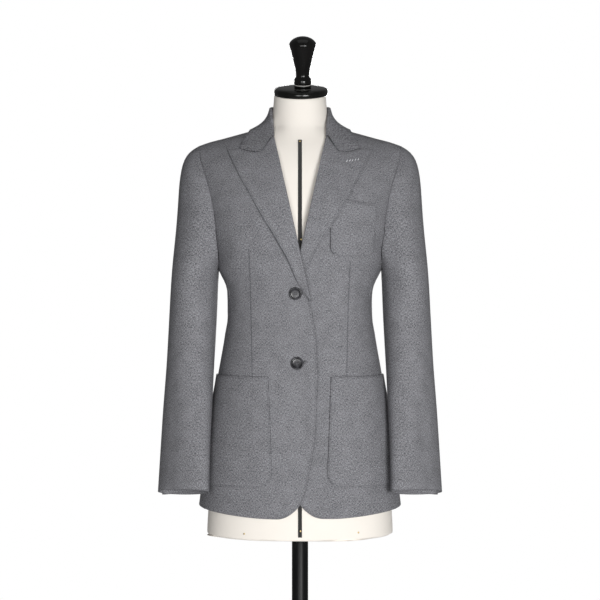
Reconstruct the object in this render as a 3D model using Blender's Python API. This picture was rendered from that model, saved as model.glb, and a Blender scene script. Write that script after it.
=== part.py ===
# Single breasted blazer with peak lapels, worn by a limbless dress form on a pole.
# Metres, +Z up, the front faces -Y. The wearer's right side is -X, the left is +X.
# The origin is the middle of the floor plate's underside, on the pole's axis.
#
# The jacket's panels all lie on one body surface. A place on it is given by a turn
# (0 at the centre front, pi/2 at the side, pi at the centre back) and a level, which
# is the height up to the chest and an angle measure from there up to the shoulder line.
# Everything is worked out for the +X side and mirrored for the other one.

from collections import namedtuple
from math import asin, atan2, cos, pi, radians, sin, tan

import bmesh
import bpy
from mathutils import Matrix, Vector

for item in list(bpy.data.objects):
    bpy.data.objects.remove(item, do_unlink=True)

# ---- Driving sizes ----

clothWall = 0.0018          # wool and lining pressed together
seamGap = 0.0007            # between two edges that are sewn together
rollGap = 0.0012            # between the front's edge and the start of the lapel's fold
hemFront = 0.5412           # height of the hem beside the front corner
hemSideRise = 0.0135        # how much higher the hem is at the side
chestLevel = 1.050          # above this height the body rounds in to the shoulders
shoulderRise = 0.200        # span of levels from the chest to the shoulder line
topLevel = chestLevel + shoulderRise
ridgeY = 0.004              # the shoulder line's place, front to back
frontRounding = 1.10        # how steeply the chest runs back to the shoulder line
backRounding = 0.60         # the upper back is fuller
breakHeight = 0.925         # where the lapel starts to roll
gorgeHeight = 1.2254        # where the roll line meets the collar
gorgeReach = 0.0495
neckReach = 0.0620          # the neck point on the shoulder line
backNeckHeight = 1.2450
shoulderReach = 0.1870      # the sleeve's seam on the shoulder line
underarmHeight = 1.0100      # top of the side panel's seams
underarmDip = 0.0240
layerSink = 0.0078          # how far the left front lies under the right one
bicepsHeight = 0.965
cuffHeight = 0.5840
cuffSlope = 0.0085          # the cuff is this much higher in front, lower behind
buttonRadius = 0.0115
buttonThickness = 0.0036

Section = namedtuple("Section", "height half front back square")
bodySections = (
    Section(0.540, 0.1870, 0.1280, 0.1190, 2.30),
    Section(0.600, 0.1795, 0.1285, 0.1220, 2.30),
    Section(0.680, 0.1685, 0.1280, 0.1230, 2.30),
    Section(0.756, 0.1565, 0.1245, 0.1170, 2.28),
    Section(0.800, 0.1490, 0.1200, 0.1100, 2.26),
    Section(0.860, 0.1385, 0.1115, 0.0990, 2.25),
    Section(0.900, 0.1333, 0.1070, 0.0945, 2.25),
    Section(0.935, 0.1333, 0.1080, 0.0940, 2.25),
    Section(0.963, 0.1383, 0.1125, 0.0950, 2.28),
    Section(0.985, 0.1490, 0.1170, 0.0970, 2.32),
    Section(1.010, 0.1555, 0.1215, 0.0990, 2.36),
    Section(1.050, 0.1640, 0.1250, 0.1020, 2.40),
    Section(1.080, 0.1730, 0.1245, 0.1030, 2.40),
    Section(1.115, 0.1850, 0.1220, 0.1030, 2.40),
    Section(1.150, 0.1960, 0.1190, 0.1010, 2.40),
    Section(1.190, 0.2060, 0.1150, 0.0980, 2.40),
    Section(1.250, 0.2150, 0.1100, 0.0940, 2.40),
)

Ridge = namedtuple("Ridge", "reach height")
shoulderLine = (
    Ridge(0.000, 1.2620),
    Ridge(0.050, 1.2550),
    Ridge(0.070, 1.2475),
    Ridge(0.116, 1.2344),
    Ridge(0.148, 1.2257),
    Ridge(0.165, 1.2214),
    Ridge(0.187, 1.2137),
    Ridge(0.215, 1.2030),
)

Edge = namedtuple("Edge", "height reach")
frontEdge = (                # reach beyond the centre is negative
    Edge(0.5412, 0.0370),
    Edge(0.5450, 0.0230),
    Edge(0.5535, 0.0110),
    Edge(0.5686, -0.0027),
    Edge(0.5900, -0.0103),
    Edge(0.6330, -0.0188),
    Edge(0.6800, -0.0263),
    Edge(0.7510, -0.0300),
    Edge(0.8000, -0.0314),
    Edge(0.8555, -0.0290),
    Edge(0.8900, -0.0252),
    Edge(0.9250, -0.0178),
)
armholeFront = (
    Edge(1.0100, 0.1485),
    Edge(1.0300, 0.1497),
    Edge(1.0500, 0.1514),
    Edge(1.0700, 0.1536),
    Edge(1.1000, 0.1570),
    Edge(1.1350, 0.1655),
    Edge(1.1600, 0.1730),
    Edge(1.1900, 0.1825),
    Edge(1.2137, 0.1870),
)
armholeBack = (
    Edge(1.0100, 0.1480),
    Edge(1.0300, 0.1500),
    Edge(1.0500, 0.1526),
    Edge(1.0700, 0.1557),
    Edge(1.1000, 0.1600),
    Edge(1.1350, 0.1675),
    Edge(1.1600, 0.1745),
    Edge(1.1900, 0.1828),
    Edge(1.2137, 0.1870),
)
lapelEdge = (                # from the break up to the point of the lapel
    Edge(0.9280, -0.0170),
    Edge(0.9600, 0.0025),
    Edge(1.0020, 0.0206),
    Edge(1.0420, 0.0430),
    Edge(1.0830, 0.0685),
    Edge(1.1140, 0.0860),
    Edge(1.1520, 0.1070),
    Edge(1.2020, 0.1310),
)
Corner = namedtuple("Corner", "share reach height")
gorgeLine = (                # from the roll line out to the point of the lapel
    Corner(0.00, 0.0495, 1.2254),
    Corner(0.36, 0.0740, 1.1940),
    Corner(0.56, 0.0965, 1.1983),
    Corner(0.72, 0.1080, 1.2022),
    Corner(1.00, 0.1310, 1.2020),
)

SleeveRing = namedtuple("SleeveRing", "height x y wide narrow turn")
sleeveRings = (
    SleeveRing(0.570, 0.2105, -0.0780, 0.0575, 0.0245, 38),
    SleeveRing(0.660, 0.2080, -0.0600, 0.0565, 0.0300, 44),
    SleeveRing(0.740, 0.2045, -0.0410, 0.0545, 0.0365, 50),
    SleeveRing(0.820, 0.2005, -0.0230, 0.0560, 0.0420, 74),
    SleeveRing(0.900, 0.1968, -0.0110, 0.0590, 0.0430, 85),
    SleeveRing(0.965, 0.1940, -0.0060, 0.0620, 0.0425, 90),
)

CollarStation = namedtuple("CollarStation", "x y z seamReach edgeReach edgeHeight lean")
collarStations = (           # the fold's top line, from the centre back round to the gorge
    CollarStation(0.0000, 0.0610, 1.2890, 0.0000, 0.0000, 1.2340, 0),
    CollarStation(0.0300, 0.0530, 1.2885, 0.0320, 0.0400, 1.2325, 0),
    CollarStation(0.0455, 0.0350, 1.2870, 0.0520, 0.0720, 1.2330, 0),
    CollarStation(0.0539, 0.0080, 1.2835, 0.0618, 0.0890, 1.2420, 0),
    CollarStation(0.0537, -0.0140, 1.2720, 0.0600, 0.0935, 1.2350, 20),
    CollarStation(0.0510, -0.0340, 1.2500, 0.0550, 0.1030, 1.2180, 50),
)

FormRing = namedtuple("FormRing", "height half front back square")
formRings = (
    FormRing(0.4995, 0.1600, 0.1080, 0.1010, 2.30),
    FormRing(0.5010, 0.1660, 0.1130, 0.1060, 2.30),
    FormRing(0.5055, 0.1695, 0.1155, 0.1085, 2.30),
    FormRing(0.5140, 0.1708, 0.1165, 0.1095, 2.30),
    FormRing(0.6000, 0.1650, 0.1165, 0.1100, 2.30),
    FormRing(0.6800, 0.1550, 0.1150, 0.1110, 2.30),
    FormRing(0.7560, 0.1430, 0.1115, 0.1050, 2.28),
    FormRing(0.8000, 0.1355, 0.1070, 0.0980, 2.26),
    FormRing(0.8600, 0.1245, 0.0985, 0.0870, 2.25),
    FormRing(0.9000, 0.1195, 0.0945, 0.0825, 2.25),
    FormRing(0.9350, 0.1195, 0.0955, 0.0820, 2.25),
    FormRing(0.9700, 0.1260, 0.1005, 0.0840, 2.28),
    FormRing(1.0100, 0.1370, 0.1080, 0.0870, 2.36),
    FormRing(1.0500, 0.1440, 0.1105, 0.0900, 2.40),
    FormRing(1.1000, 0.1500, 0.1065, 0.0900, 2.35),
    FormRing(1.1500, 0.1570, 0.0950, 0.0880, 2.20),
    FormRing(1.1800, 0.1605, 0.0840, 0.0830, 2.00),
    FormRing(1.2000, 0.1610, 0.0740, 0.0770, 1.90),
    FormRing(1.2120, 0.1580, 0.0670, 0.0720, 1.80),
    FormRing(1.2190, 0.1520, 0.0630, 0.0680, 1.75),
    FormRing(1.2250, 0.1390, 0.0600, 0.0640, 1.70),
    FormRing(1.2320, 0.1145, 0.0565, 0.0600, 1.70),
    FormRing(1.2385, 0.0925, 0.0540, 0.0570, 1.75),
    FormRing(1.2430, 0.0740, 0.0522, 0.0550, 1.85),
    FormRing(1.2475, 0.0590, 0.0505, 0.0520, 1.95),
    FormRing(1.2560, 0.0535, 0.0495, 0.0510, 2.00),
    FormRing(1.2700, 0.0510, 0.0490, 0.0500, 2.00),
    FormRing(1.2880, 0.0492, 0.0482, 0.0485, 2.00),
    FormRing(1.3085, 0.0475, 0.0475, 0.0475, 2.00),
)
neckTilt = radians(16)       # the neck's top and its cap lean forward
capCentre = Vector((0.002, -0.001, 1.3085))
poleRadius = 0.015
baseRadius = 0.180
baseThickness = 0.008
seatGap = 0.0003
capHeight = 0.0142
knobHeight = 0.0932
knobShift = 0.0030           # the knob stands a little to the wearer's left of the cap's middle


# ---- Reading the tables ----

def read(rows, column, at, key="height"):
    """A smooth curve through the rows, with no overshoot between them."""
    keys = [getattr(row, key) for row in rows]
    values = [getattr(row, column) for row in rows]
    if at <= keys[0]:
        return values[0]
    if at >= keys[-1]:
        return values[-1]
    low = max(index for index in range(len(keys) - 1) if keys[index] <= at)
    rises = [(values[k + 1] - values[k]) / (keys[k + 1] - keys[k]) for k in range(len(keys) - 1)]

    def slope(k):
        if k == 0 or k == len(keys) - 1:
            return rises[min(k, len(rises) - 1)]
        before, after = rises[k - 1], rises[k]
        return 0.0 if before * after <= 0 else 2 * before * after / (before + after)

    span = keys[low + 1] - keys[low]
    s = (at - keys[low]) / span
    return (values[low] * (1 + 2 * s) * (1 - s) ** 2 + values[low + 1] * s * s * (3 - 2 * s)
            + span * (slope(low) * s * (1 - s) ** 2 - slope(low + 1) * s * s * (1 - s)))


def mix(first, second, share):
    return first + (second - first) * share


def soft(value, start, end):
    """0 at start, 1 at end, smooth between."""
    s = min(max((value - start) / (end - start), 0.0), 1.0)
    return s * s * (3 - 2 * s)


# ---- The body surface ----

def ridgeHeight(reach):
    return read(shoulderLine, "height", abs(reach), key="reach")


def bodyRaw(turn, level):
    half = read(bodySections, "half", level)
    square = read(bodySections, "square", level)
    depth = read(bodySections, "front" if cos(turn) > 0 else "back", level)
    radius = (abs(sin(turn) / half) ** square + abs(cos(turn) / depth) ** square) ** (-1 / square)
    x, y = radius * sin(turn), -radius * cos(turn)
    if level <= chestLevel:
        return Vector((x, y, level))
    arc = min((level - chestLevel) / shoulderRise, 1.0) * pi / 2
    rounding = frontRounding if cos(turn) > 0 else backRounding
    y = ridgeY + (y - ridgeY) * max(cos(arc), 0.0) ** rounding
    return Vector((x, y, chestLevel + (ridgeHeight(x) - chestLevel) * sin(arc)))


def bodyNormal(turn, level):
    level = min(level, topLevel - 0.004)
    across = bodyRaw(turn + 0.02, level) - bodyRaw(turn - 0.02, level)
    upward = bodyRaw(turn, level + 0.003) - bodyRaw(turn, level - 0.003)
    return across.cross(upward).normalized()


def bodyPoint(turn, level, out=0.0):
    return bodyRaw(turn, level) + bodyNormal(turn, level) * out


def levelAt(reach, height):
    if height <= chestLevel:
        return height
    share = (height - chestLevel) / (ridgeHeight(reach) - chestLevel)
    return chestLevel + shoulderRise * asin(min(share, 1.0)) * 2 / pi


def turnAt(reach, level, behind=False):
    half = read(bodySections, "half", level)
    square = read(bodySections, "square", level)
    depth = read(bodySections, "back" if behind else "front", level)
    deep = depth * max(1 - abs(reach / half) ** square, 0.0) ** (1 / square)
    return pi - atan2(reach, deep) if behind else atan2(reach, deep)


def frontPlace(reach, height, out=0.0):
    level = levelAt(reach, height)
    return bodyPoint(turnAt(reach, level), level, out)


def hemHeight(turn):
    return hemFront + hemSideRise * soft(turn, radians(22), radians(95)) - 0.004 * soft(turn, radians(110), pi)


# ---- Boundaries of the panels ----

def asLevels(rows):
    return tuple(Edge(levelAt(row.reach, row.height), row.reach) for row in rows)


rollSteps = 12
rollLine = tuple(
    Edge(mix(breakHeight, gorgeHeight, k / rollSteps), mix(frontEdge[-1].reach, gorgeReach, k / rollSteps))
    for k in range(rollSteps + 1))
neckSteps = 3
neckLine = tuple(
    Edge(mix(gorgeHeight, ridgeHeight(neckReach) - 0.0004, k / neckSteps),
         mix(gorgeReach, neckReach, k / neckSteps))
    for k in range(1, neckSteps + 1))
innerLine = asLevels(frontEdge[:-1] + rollLine + neckLine)
innerLine = innerLine[:-1] + (Edge(topLevel, neckReach),)
armholeFrontLine = asLevels(armholeFront)[:-1] + (Edge(topLevel, shoulderReach),)
armholeBackLine = asLevels(armholeBack)[:-1] + (Edge(topLevel, shoulderReach),)
sideSeamFront = turnAt(armholeFront[0].reach, underarmHeight)
sideSeamBack = turnAt(armholeBack[0].reach, underarmHeight, behind=True)


def armholeTurn(level, behind=False):
    reach = read(armholeBackLine if behind else armholeFrontLine, "reach", level)
    return turnAt(reach, level, behind)


def underarmLevel(turn):
    middle = (sideSeamFront + sideSeamBack) / 2
    share = (turn - middle) / (sideSeamBack - middle)
    return underarmHeight - underarmDip * max(1 - abs(share) ** 2.6, 0.0)


def backNeck(reach):
    return mix(backNeckHeight, ridgeHeight(neckReach), min(reach / neckReach, 1.0) ** 2)


def spread(first, last, steps):
    return [mix(first, last, k / steps) for k in range(steps + 1)]


# ---- Materials and sheets ----

def finish(name, colour, roughness, metallic=0.0):
    material = bpy.data.materials.new(name)
    material.use_nodes = True
    shader = material.node_tree.nodes["Principled BSDF"]
    shader.inputs["Base Color"].default_value = (*colour, 1.0)
    shader.inputs["Roughness"].default_value = roughness
    shader.inputs["Metallic"].default_value = metallic
    material.diffuse_color = (*colour, 1.0)
    return material


wool = finish("wool", (0.22, 0.22, 0.235), 0.90)
horn = finish("horn", (0.08, 0.08, 0.085), 0.40)
jersey = finish("jersey", (0.85, 0.80, 0.74), 0.95)
ribbon = finish("ribbon", (0.02, 0.02, 0.02), 0.80)
lacquer = finish("lacquer", (0.015, 0.014, 0.014), 0.20)
steel = finish("steel", (0.03, 0.03, 0.033), 0.40, 0.6)


def addObject(name, form, material, smoothAngle=radians(40)):
    mesh = bpy.data.meshes.new(name)
    form.to_mesh(mesh)
    form.free()
    mesh.materials.append(material)
    mesh.shade_smooth()
    mesh.set_sharp_from_angle(angle=smoothAngle)
    item = bpy.data.objects.new(name, mesh)
    bpy.context.scene.collection.objects.link(item)
    return item


def sheet(name, columns, rows, place, mirrored=False, material=wool, wall=clothWall):
    """A wall of cloth: a grid laid out by place(column share, row share), then thickened."""
    form = bmesh.new()
    bmesh.ops.create_grid(form, x_segments=columns, y_segments=rows, size=0.5)
    for vertex in form.verts:
        vertex.co = place(vertex.co.x + 0.5, vertex.co.y + 0.5)
        if mirrored:
            vertex.co.x = -vertex.co.x
    item = addObject(name, form, material)
    thickness = item.modifiers.new("wall", "SOLIDIFY")
    thickness.thickness = wall
    thickness.offset = 0.0
    return item


def pick(values, share):
    """The value at a share of the way through an evenly numbered list."""
    place = min(max(share, 0.0), 1.0) * (len(values) - 1)
    low = min(int(place + 1e-6), len(values) - 2)
    return mix(values[low], values[low + 1], place - low)


# ---- Fronts ----

cornerLevels = [0.5412, 0.5442, 0.5510, 0.5640, 0.5860]
frontInner = (cornerLevels + spread(0.622, breakHeight, 7) + spread(0.956, chestLevel, 3)
              + spread(1.080, topLevel - 0.0008, 6))
frontOuter = (spread(hemFront + 0.0115, 0.600, 4) + spread(0.636, 0.925, 7) + [0.955, 0.984, underarmHeight, chestLevel]
              + spread(1.080, topLevel - 0.0008, 6))
frontRows = len(frontInner) - 1
frontColumns = 10


def sink(reach, height):
    """The left front lies deeper where the right front covers it."""
    return -layerSink * (1 - soft(reach, 0.034, 0.072)) * (1 - soft(height, 1.010, 1.075))


def frontPanel(under):
    def place(s, v):
        inner, outer = pick(frontInner, v), pick(frontOuter, v)
        start = turnAt(read(innerLine, "reach", inner) + rollGap, inner)
        if outer <= underarmHeight:
            end = sideSeamFront
        else:
            end = armholeTurn(outer)
        end -= seamGap / 2 / 0.13
        turn = mix(start, end, s)
        level = mix(inner, outer, s)
        if v < 0.001:
            level = hemHeight(turn)
        point = bodyRaw(turn, level)
        return bodyPoint(turn, level, sink(point.x, point.z) if under else 0.0)
    return place


# ---- Side panels and backs ----

def sidePanel(s, v):
    turn = mix(sideSeamFront, sideSeamBack, s) + mix(1, -1, s) * seamGap / 2 / 0.13
    return bodyPoint(turn, mix(hemHeight(turn), underarmLevel(turn) - 0.0003, v ** 0.9))


backNeckStart = 6 / 9        # column share of the neck point, counted from the armhole
backOuter = spread(0.5535, 0.9250, 8) + [0.955, 0.984, underarmHeight, chestLevel] + spread(1.080, topLevel - 0.0008, 6)
backRows = len(backOuter) - 1
backColumns = 9


def backReach(s):
    if s < backNeckStart:
        return mix(shoulderReach, neckReach, s / backNeckStart)
    return mix(neckReach, 0.0, (s - backNeckStart) / (1 - backNeckStart))


def backPanel(s, v):
    outer = pick(backOuter, v)
    top = topLevel - 0.0008
    if s > backNeckStart + 0.01:
        reach = backReach(s)
        top = levelAt(reach, backNeck(reach))
    start = sideSeamBack if outer <= underarmHeight else armholeTurn(outer, behind=True)
    start += seamGap / 2 / 0.13
    end = pi - seamGap / 2 / 0.11
    level = mix(outer, outer * top / (topLevel - 0.0008), v ** 6)
    plain = mix(start, end, s)
    if v < 0.001:
        level = hemHeight(plain)
    above = soft(v, 0.72, 1.0)
    if above > 0 and 0.001 < s < 0.999:
        plain = mix(plain, turnAt(backReach(s), level, behind=True), above)
    return bodyPoint(plain, level)


# ---- Lapels and collar ----

lapelFold = 0.0023           # radius of the rolled edge
lapelLie = 0.0034            # height of the lapel's middle over the front's middle
overPocket = 0.0042          # extra height where the left lapel covers the chest pocket
foldShare = 0.30             # share of the columns that go round the fold


def lapelOutline(s, v):
    """Flat place (reach, height) on the lapel: s from the roll line out, v from the break up."""
    rollHeight = mix(breakHeight + 0.004, gorgeHeight - 0.0017, v)
    roll = Vector((mix(frontEdge[-1].reach, gorgeReach, (rollHeight - breakHeight)
                       / (gorgeHeight - breakHeight)), rollHeight))
    edgeHeight = mix(lapelEdge[0].height + 0.003, lapelEdge[-1].height, v)
    edge = Vector((read(lapelEdge, "reach", edgeHeight), edgeHeight))
    flat = roll.lerp(edge, s)
    top = Vector((read(gorgeLine, "reach", s, key="share"), read(gorgeLine, "height", s, key="share")))
    straight = Vector((mix(gorgeReach, lapelEdge[-1].reach, s),
                       mix(gorgeHeight - 0.0017, lapelEdge[-1].height, s)))
    return flat + (top - Vector((0, 0.0017 - 0.0008 * min(s * 12, 1.0))) - straight) * soft(v, 0.55, 1.0) ** 1.3


def lapel(under):
    fold = lapelFold * (0.85 if under else 1.0)

    def place(s, v):
        lift = 0.0 if under else 0.0040 * (1 - v) ** 2
        if s < foldShare:
            angle = mix(-pi / 2, pi / 2, s / foldShare)
            flat = lapelOutline(0.0, v)
            flat.x -= fold * cos(angle)
            out = (fold + lift / 2) * (1 + sin(angle))
        else:
            share = (s - foldShare) / (1 - foldShare)
            flat = lapelOutline(share, v)
            out = mix(2 * fold, lapelLie, soft(share, 0, 0.8)) + lift * (1 - 0.6 * share)
            if under:
                out += overPocket * soft(flat.x, 0.036, 0.052) * (1 - soft(flat.y, 1.112, 1.140))
        depth = sink(flat.x, flat.y) if under else 0.0
        return frontPlace(flat.x, flat.y, out + depth)
    return place


collarColumns = 14
collarRows = 18              # from one gorge round the neck to the other
standShare = 3 / 14          # columns of the stand, of the fold, and the rest for the fall
crestShare = 7 / 14
crestRadius = 0.0025


def collarStation(u):
    """The fold line, the neck seam, the outer edge and the lean at u, 0 at the back and 1 at the gorge."""
    last = len(collarStations) - 1
    rows = [row._asdict() | {"share": 0.88 * k / last} for k, row in enumerate(collarStations)]
    Row = namedtuple("Row", rows[0].keys())
    rows = [Row(**row) for row in rows]
    gorge = frontPlace(gorgeReach, gorgeHeight, crestRadius)
    corner = gorgeLine[3]
    rows.append(Row(gorge.x, gorge.y, gorge.z, gorgeReach, corner.reach, corner.height + 0.0006, 82, 1.0))
    x, y, z, seamReach, edgeReach, edgeHeight, lean = (
        read(rows, column, u, key="share") for column in CollarStation._fields)
    behind = y > ridgeY
    if behind:
        seamLevel = levelAt(seamReach, backNeck(seamReach) - 0.0001)
        edgeLevel = levelAt(edgeReach, edgeHeight)
    else:
        seamHeight = mix(ridgeHeight(neckReach), gorgeHeight, (neckReach - seamReach) / (neckReach - gorgeReach))
        seamLevel = levelAt(seamReach, min(seamHeight, ridgeHeight(seamReach) - 0.0001))
        edgeLevel = levelAt(edgeReach, edgeHeight)
    seam = bodyPoint(turnAt(seamReach, seamLevel, behind), seamLevel)
    edge = bodyPoint(turnAt(edgeReach, edgeLevel, behind), edgeLevel, lapelLie)
    return Vector((x, y, z)), seam, edge, radians(lean), behind


def collarPlace(s, v):
    side = 1 if v >= 0.5 else -1
    u = abs(v - 0.5) * 2
    crest, seam, edge, lean, behind = collarStation(u)
    outward = (edge - crest)
    outward.z = 0
    if u < 0.02:
        outward = Vector((0, 1, 0))
    outward.normalize()
    facing = bodyNormal(turnAt(gorgeReach, levelAt(gorgeReach, gorgeHeight)), levelAt(gorgeReach, gorgeHeight))
    outward = outward.lerp(facing, soft(lean, 0, radians(82))).normalized()
    rise = Vector((0, 0, 1)).lerp(Vector((-0.97, 0, 0.22)), soft(lean, 0, radians(82))).normalized()
    stand = crest - outward * crestRadius
    climb = stand - seam
    upward = (climb + rise * 0.001).normalized().lerp(rise, soft(lean, radians(50), radians(82))).normalized()
    foot = stand - upward * max(climb.length - 0.0024, 0.0008)
    fallStart = crest + outward * crestRadius
    if s < standShare:
        point = foot.lerp(stand, s / standShare)
    elif s < crestShare:
        angle = mix(pi, 0, (s - standShare) / (crestShare - standShare))
        point = crest + outward * crestRadius * cos(angle) + rise * crestRadius * sin(angle)
    else:
        share = (s - crestShare) / (1 - crestShare)
        drop = edge - fallStart
        flatDrop = Vector((drop.x, drop.y, 0))
        first = fallStart + flatDrop * 0.12 + Vector((0, 0, drop.z * 0.55))
        second = edge - flatDrop * 0.48 - Vector((0, 0, drop.z * 0.22))
        first = first.lerp(fallStart + drop * 0.33, soft(lean, 0, radians(80)))
        second = second.lerp(fallStart + drop * 0.66, soft(lean, 0, radians(80)))
        a, b = 1 - share, share
        point = fallStart * a ** 3 + first * 3 * a * a * b + second * 3 * a * b * b + edge * b ** 3
        ending = soft(u, 0.80, 1.0)
        if ending > 0:
            corner = gorgeLine[3]
            reach = read(gorgeLine, "reach", share * corner.share, key="share")
            height = read(gorgeLine, "height", share * corner.share, key="share") + 0.0006 * min(share * 12, 1)
            onFront = frontPlace(reach, height, mix(2 * crestRadius, lapelLie, soft(share, 0, 0.8)))
            point = point.lerp(onFront, ending)
    return Vector((point.x * side, point.y, point.z))


# ---- Sleeves ----

armholeMiddle = 1.100
underarmClear = 0.0021       # the sleeve hangs outside the side panel under the arm
armShare = 0.58              # share of a sleeve's rows below the biceps
sleeveRows = 14
topSleeveColumns = 12
behindShare = 1 / 3          # columns of the top sleeve behind the shoulder point
upperArmSlim = 0.0065        # how much flatter the outer arm runs under the shoulder
sleeveGap = 0.0008
frontSeamAngle = radians(165)


def armholeLoop():
    """Places round the armhole with their angle: 0 at the shoulder, pi/2 in front, pi under the arm."""
    steps = 24
    places = [(armholeTurn(level), level) for level in reversed(spread(underarmHeight, topLevel, steps))]
    places += [(turn, underarmLevel(turn)) for turn in spread(sideSeamFront, sideSeamBack, steps)[1:-1]]
    places += [(armholeTurn(level, behind=True), level) for level in spread(underarmHeight, topLevel, steps)]
    loop = []
    for turn, level in places:
        point = bodyRaw(turn, level)
        angle = atan2(ridgeY - point.y, point.z - armholeMiddle) % (2 * pi)
        clear = underarmClear * (1 - soft(abs(angle - pi), radians(65), radians(125)))
        loop.append((angle, point + bodyNormal(turn, level) * clear))
    loop[0] = (0.0, loop[0][1])
    loop[-1] = (2 * pi, loop[-1][1])
    return loop


armhole = armholeLoop()


def armholePoint(angle):
    angle %= 2 * pi
    for (first, start), (second, end) in zip(armhole, armhole[1:]):
        if first <= angle <= second and second > first:
            return start.lerp(end, (angle - first) / (second - first))
    return armhole[-1][1].copy()


Leave = namedtuple("Leave", "angle x y z")
leaving = (                  # the direction in which the sleeve leaves the armhole
    Leave(0, 0.97, 0.00, -0.22),
    Leave(45, 0.90, -0.25, -0.30),
    Leave(90, 0.72, -0.42, -0.55),
    Leave(140, 0.35, -0.35, -0.85),
    Leave(180, 0.08, 0.00, -1.00),
    Leave(220, 0.35, 0.35, -0.85),
    Leave(270, 0.72, 0.45, -0.50),
    Leave(315, 0.90, 0.25, -0.30),
    Leave(360, 0.97, 0.00, -0.22),
)


def leavingDirection(angle):
    at = (angle * 180 / pi) % 360
    return Vector([read(leaving, axis, at, key="angle") for axis in "xyz"]).normalized()


def sleeveRing(angle, height):
    x, y, wide, narrow, turn = (read(sleeveRings, column, height) for column in SleeveRing._fields[1:])
    turn = radians(turn)
    along = Vector((cos(turn), sin(turn), 0))
    across = Vector((sin(turn), -cos(turn), 0))
    beta = angle + turn
    return Vector((x, y, height)) + along * wide * cos(beta) + across * narrow * sin(beta)


def sleevePoint(angle, v, cuffDrop=0.0):
    """v runs from the cuff (0) over the biceps (armShare) to the armhole (1)."""
    if v <= armShare:
        cuff = cuffHeight + cuffSlope * sin(angle) - cuffDrop
        return sleeveRing(angle, mix(cuff, bicepsHeight, v / armShare))
    s = 1 - (v - armShare) / (1 - armShare)
    direction = leavingDirection(angle)
    start = armholePoint(angle) + direction * 0.0013
    end = sleeveRing(angle, bicepsHeight)
    length = (end - start).length
    away = direction * length * mix(0.62, 0.35, soft(abs(pi - angle % (2 * pi)), pi * 0.75, 0))
    down = (sleeveRing(angle, bicepsHeight - 0.02) - end).normalized() * length * 0.90
    slim = upperArmSlim * sin(pi * max(s - 0.15, 0.0) / 0.85) ** 2 * soft(cos(angle), -0.2, 0.6)
    return (start * (1 + 2 * s) * (1 - s) ** 2 + end * s * s * (3 - 2 * s)
            + away * s * (1 - s) ** 2 - down * s * s * (1 - s) - Vector((slim, 0, 0)))


def backSeamAngle(v):
    return radians(mix(-50, -75, v))


def topSleeve(s, v):
    gap = sleeveGap / 0.05
    if s < behindShare:
        return sleevePoint(mix(backSeamAngle(v) + gap, 0.0, s / behindShare), v)
    return sleevePoint(mix(0.0, frontSeamAngle - gap, (s - behindShare) / (1 - behindShare)), v)


def underSleeve(s, v):
    gap = sleeveGap / 0.05
    return sleevePoint(mix(frontSeamAngle + gap, 2 * pi + backSeamAngle(v) - gap, s), v,
                       cuffDrop=0.0025 * soft(s, 0.8, 1.0))


# ---- Patch pockets ----

pocketLift = clothWall + 0.0015


def alongSection(level, start, distance, step=radians(1.5)):
    """The turn that lies this far round the body from the turn start."""
    turn, here = start, bodyRaw(start, level)
    while distance > 1e-6:
        there = bodyRaw(turn + step, level)
        chord = (there - here).length
        if chord > distance:
            return turn + step * distance / chord
        distance -= chord
        turn, here = turn + step, there
    return turn


def patch(width, bottom, top, innerTop, innerBottom, corner, under, rows=9):
    """A patch pocket: straight top, rounded lower corners, on the body surface."""
    cornerRows = 4

    def place(s, v):
        row = v * rows
        if row < cornerRows - 0.01:
            angle = row / cornerRows * pi / 2
            rise, inset = corner * (1 - cos(angle)), corner * (1 - sin(angle))
        else:
            rise, inset = mix(corner, top - bottom, (row - cornerRows) / (rows - cornerRows)), 0.0
        reach = mix(innerBottom, innerTop, rise / (top - bottom))
        level = levelAt(reach + width / 2, bottom + rise)
        first = turnAt(reach, level)
        turn = alongSection(level, first, mix(inset, width - inset, s))
        point = bodyRaw(turn, level)
        return bodyPoint(turn, level, pocketLift + (sink(point.x, point.z) if under else 0.0))
    return place


# ---- Turned pieces and the form ----

def turned(name, profile, material, centre, facing=Vector((0, 0, 1)), steps=32):
    """A closed turned piece from (radius, height) rows that start and end on the axis."""
    form = bmesh.new()
    points = [form.verts.new((radius, 0, height)) for radius, height in profile]
    edges = [form.edges.new(pair) for pair in zip(points, points[1:])]
    bmesh.ops.spin(form, geom=points + edges, cent=(0, 0, 0), axis=(0, 0, 1), angle=2 * pi, steps=steps,
                   use_merge=True, use_duplicate=False)
    bmesh.ops.remove_doubles(form, verts=form.verts, dist=1e-5)
    bmesh.ops.recalc_face_normals(form, faces=form.faces)
    turn = Vector((0, 0, 1)).rotation_difference(facing).to_matrix().to_4x4()
    bmesh.ops.transform(form, matrix=Matrix.Translation(centre) @ turn, verts=form.verts)
    return addObject(name, form, material)


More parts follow.
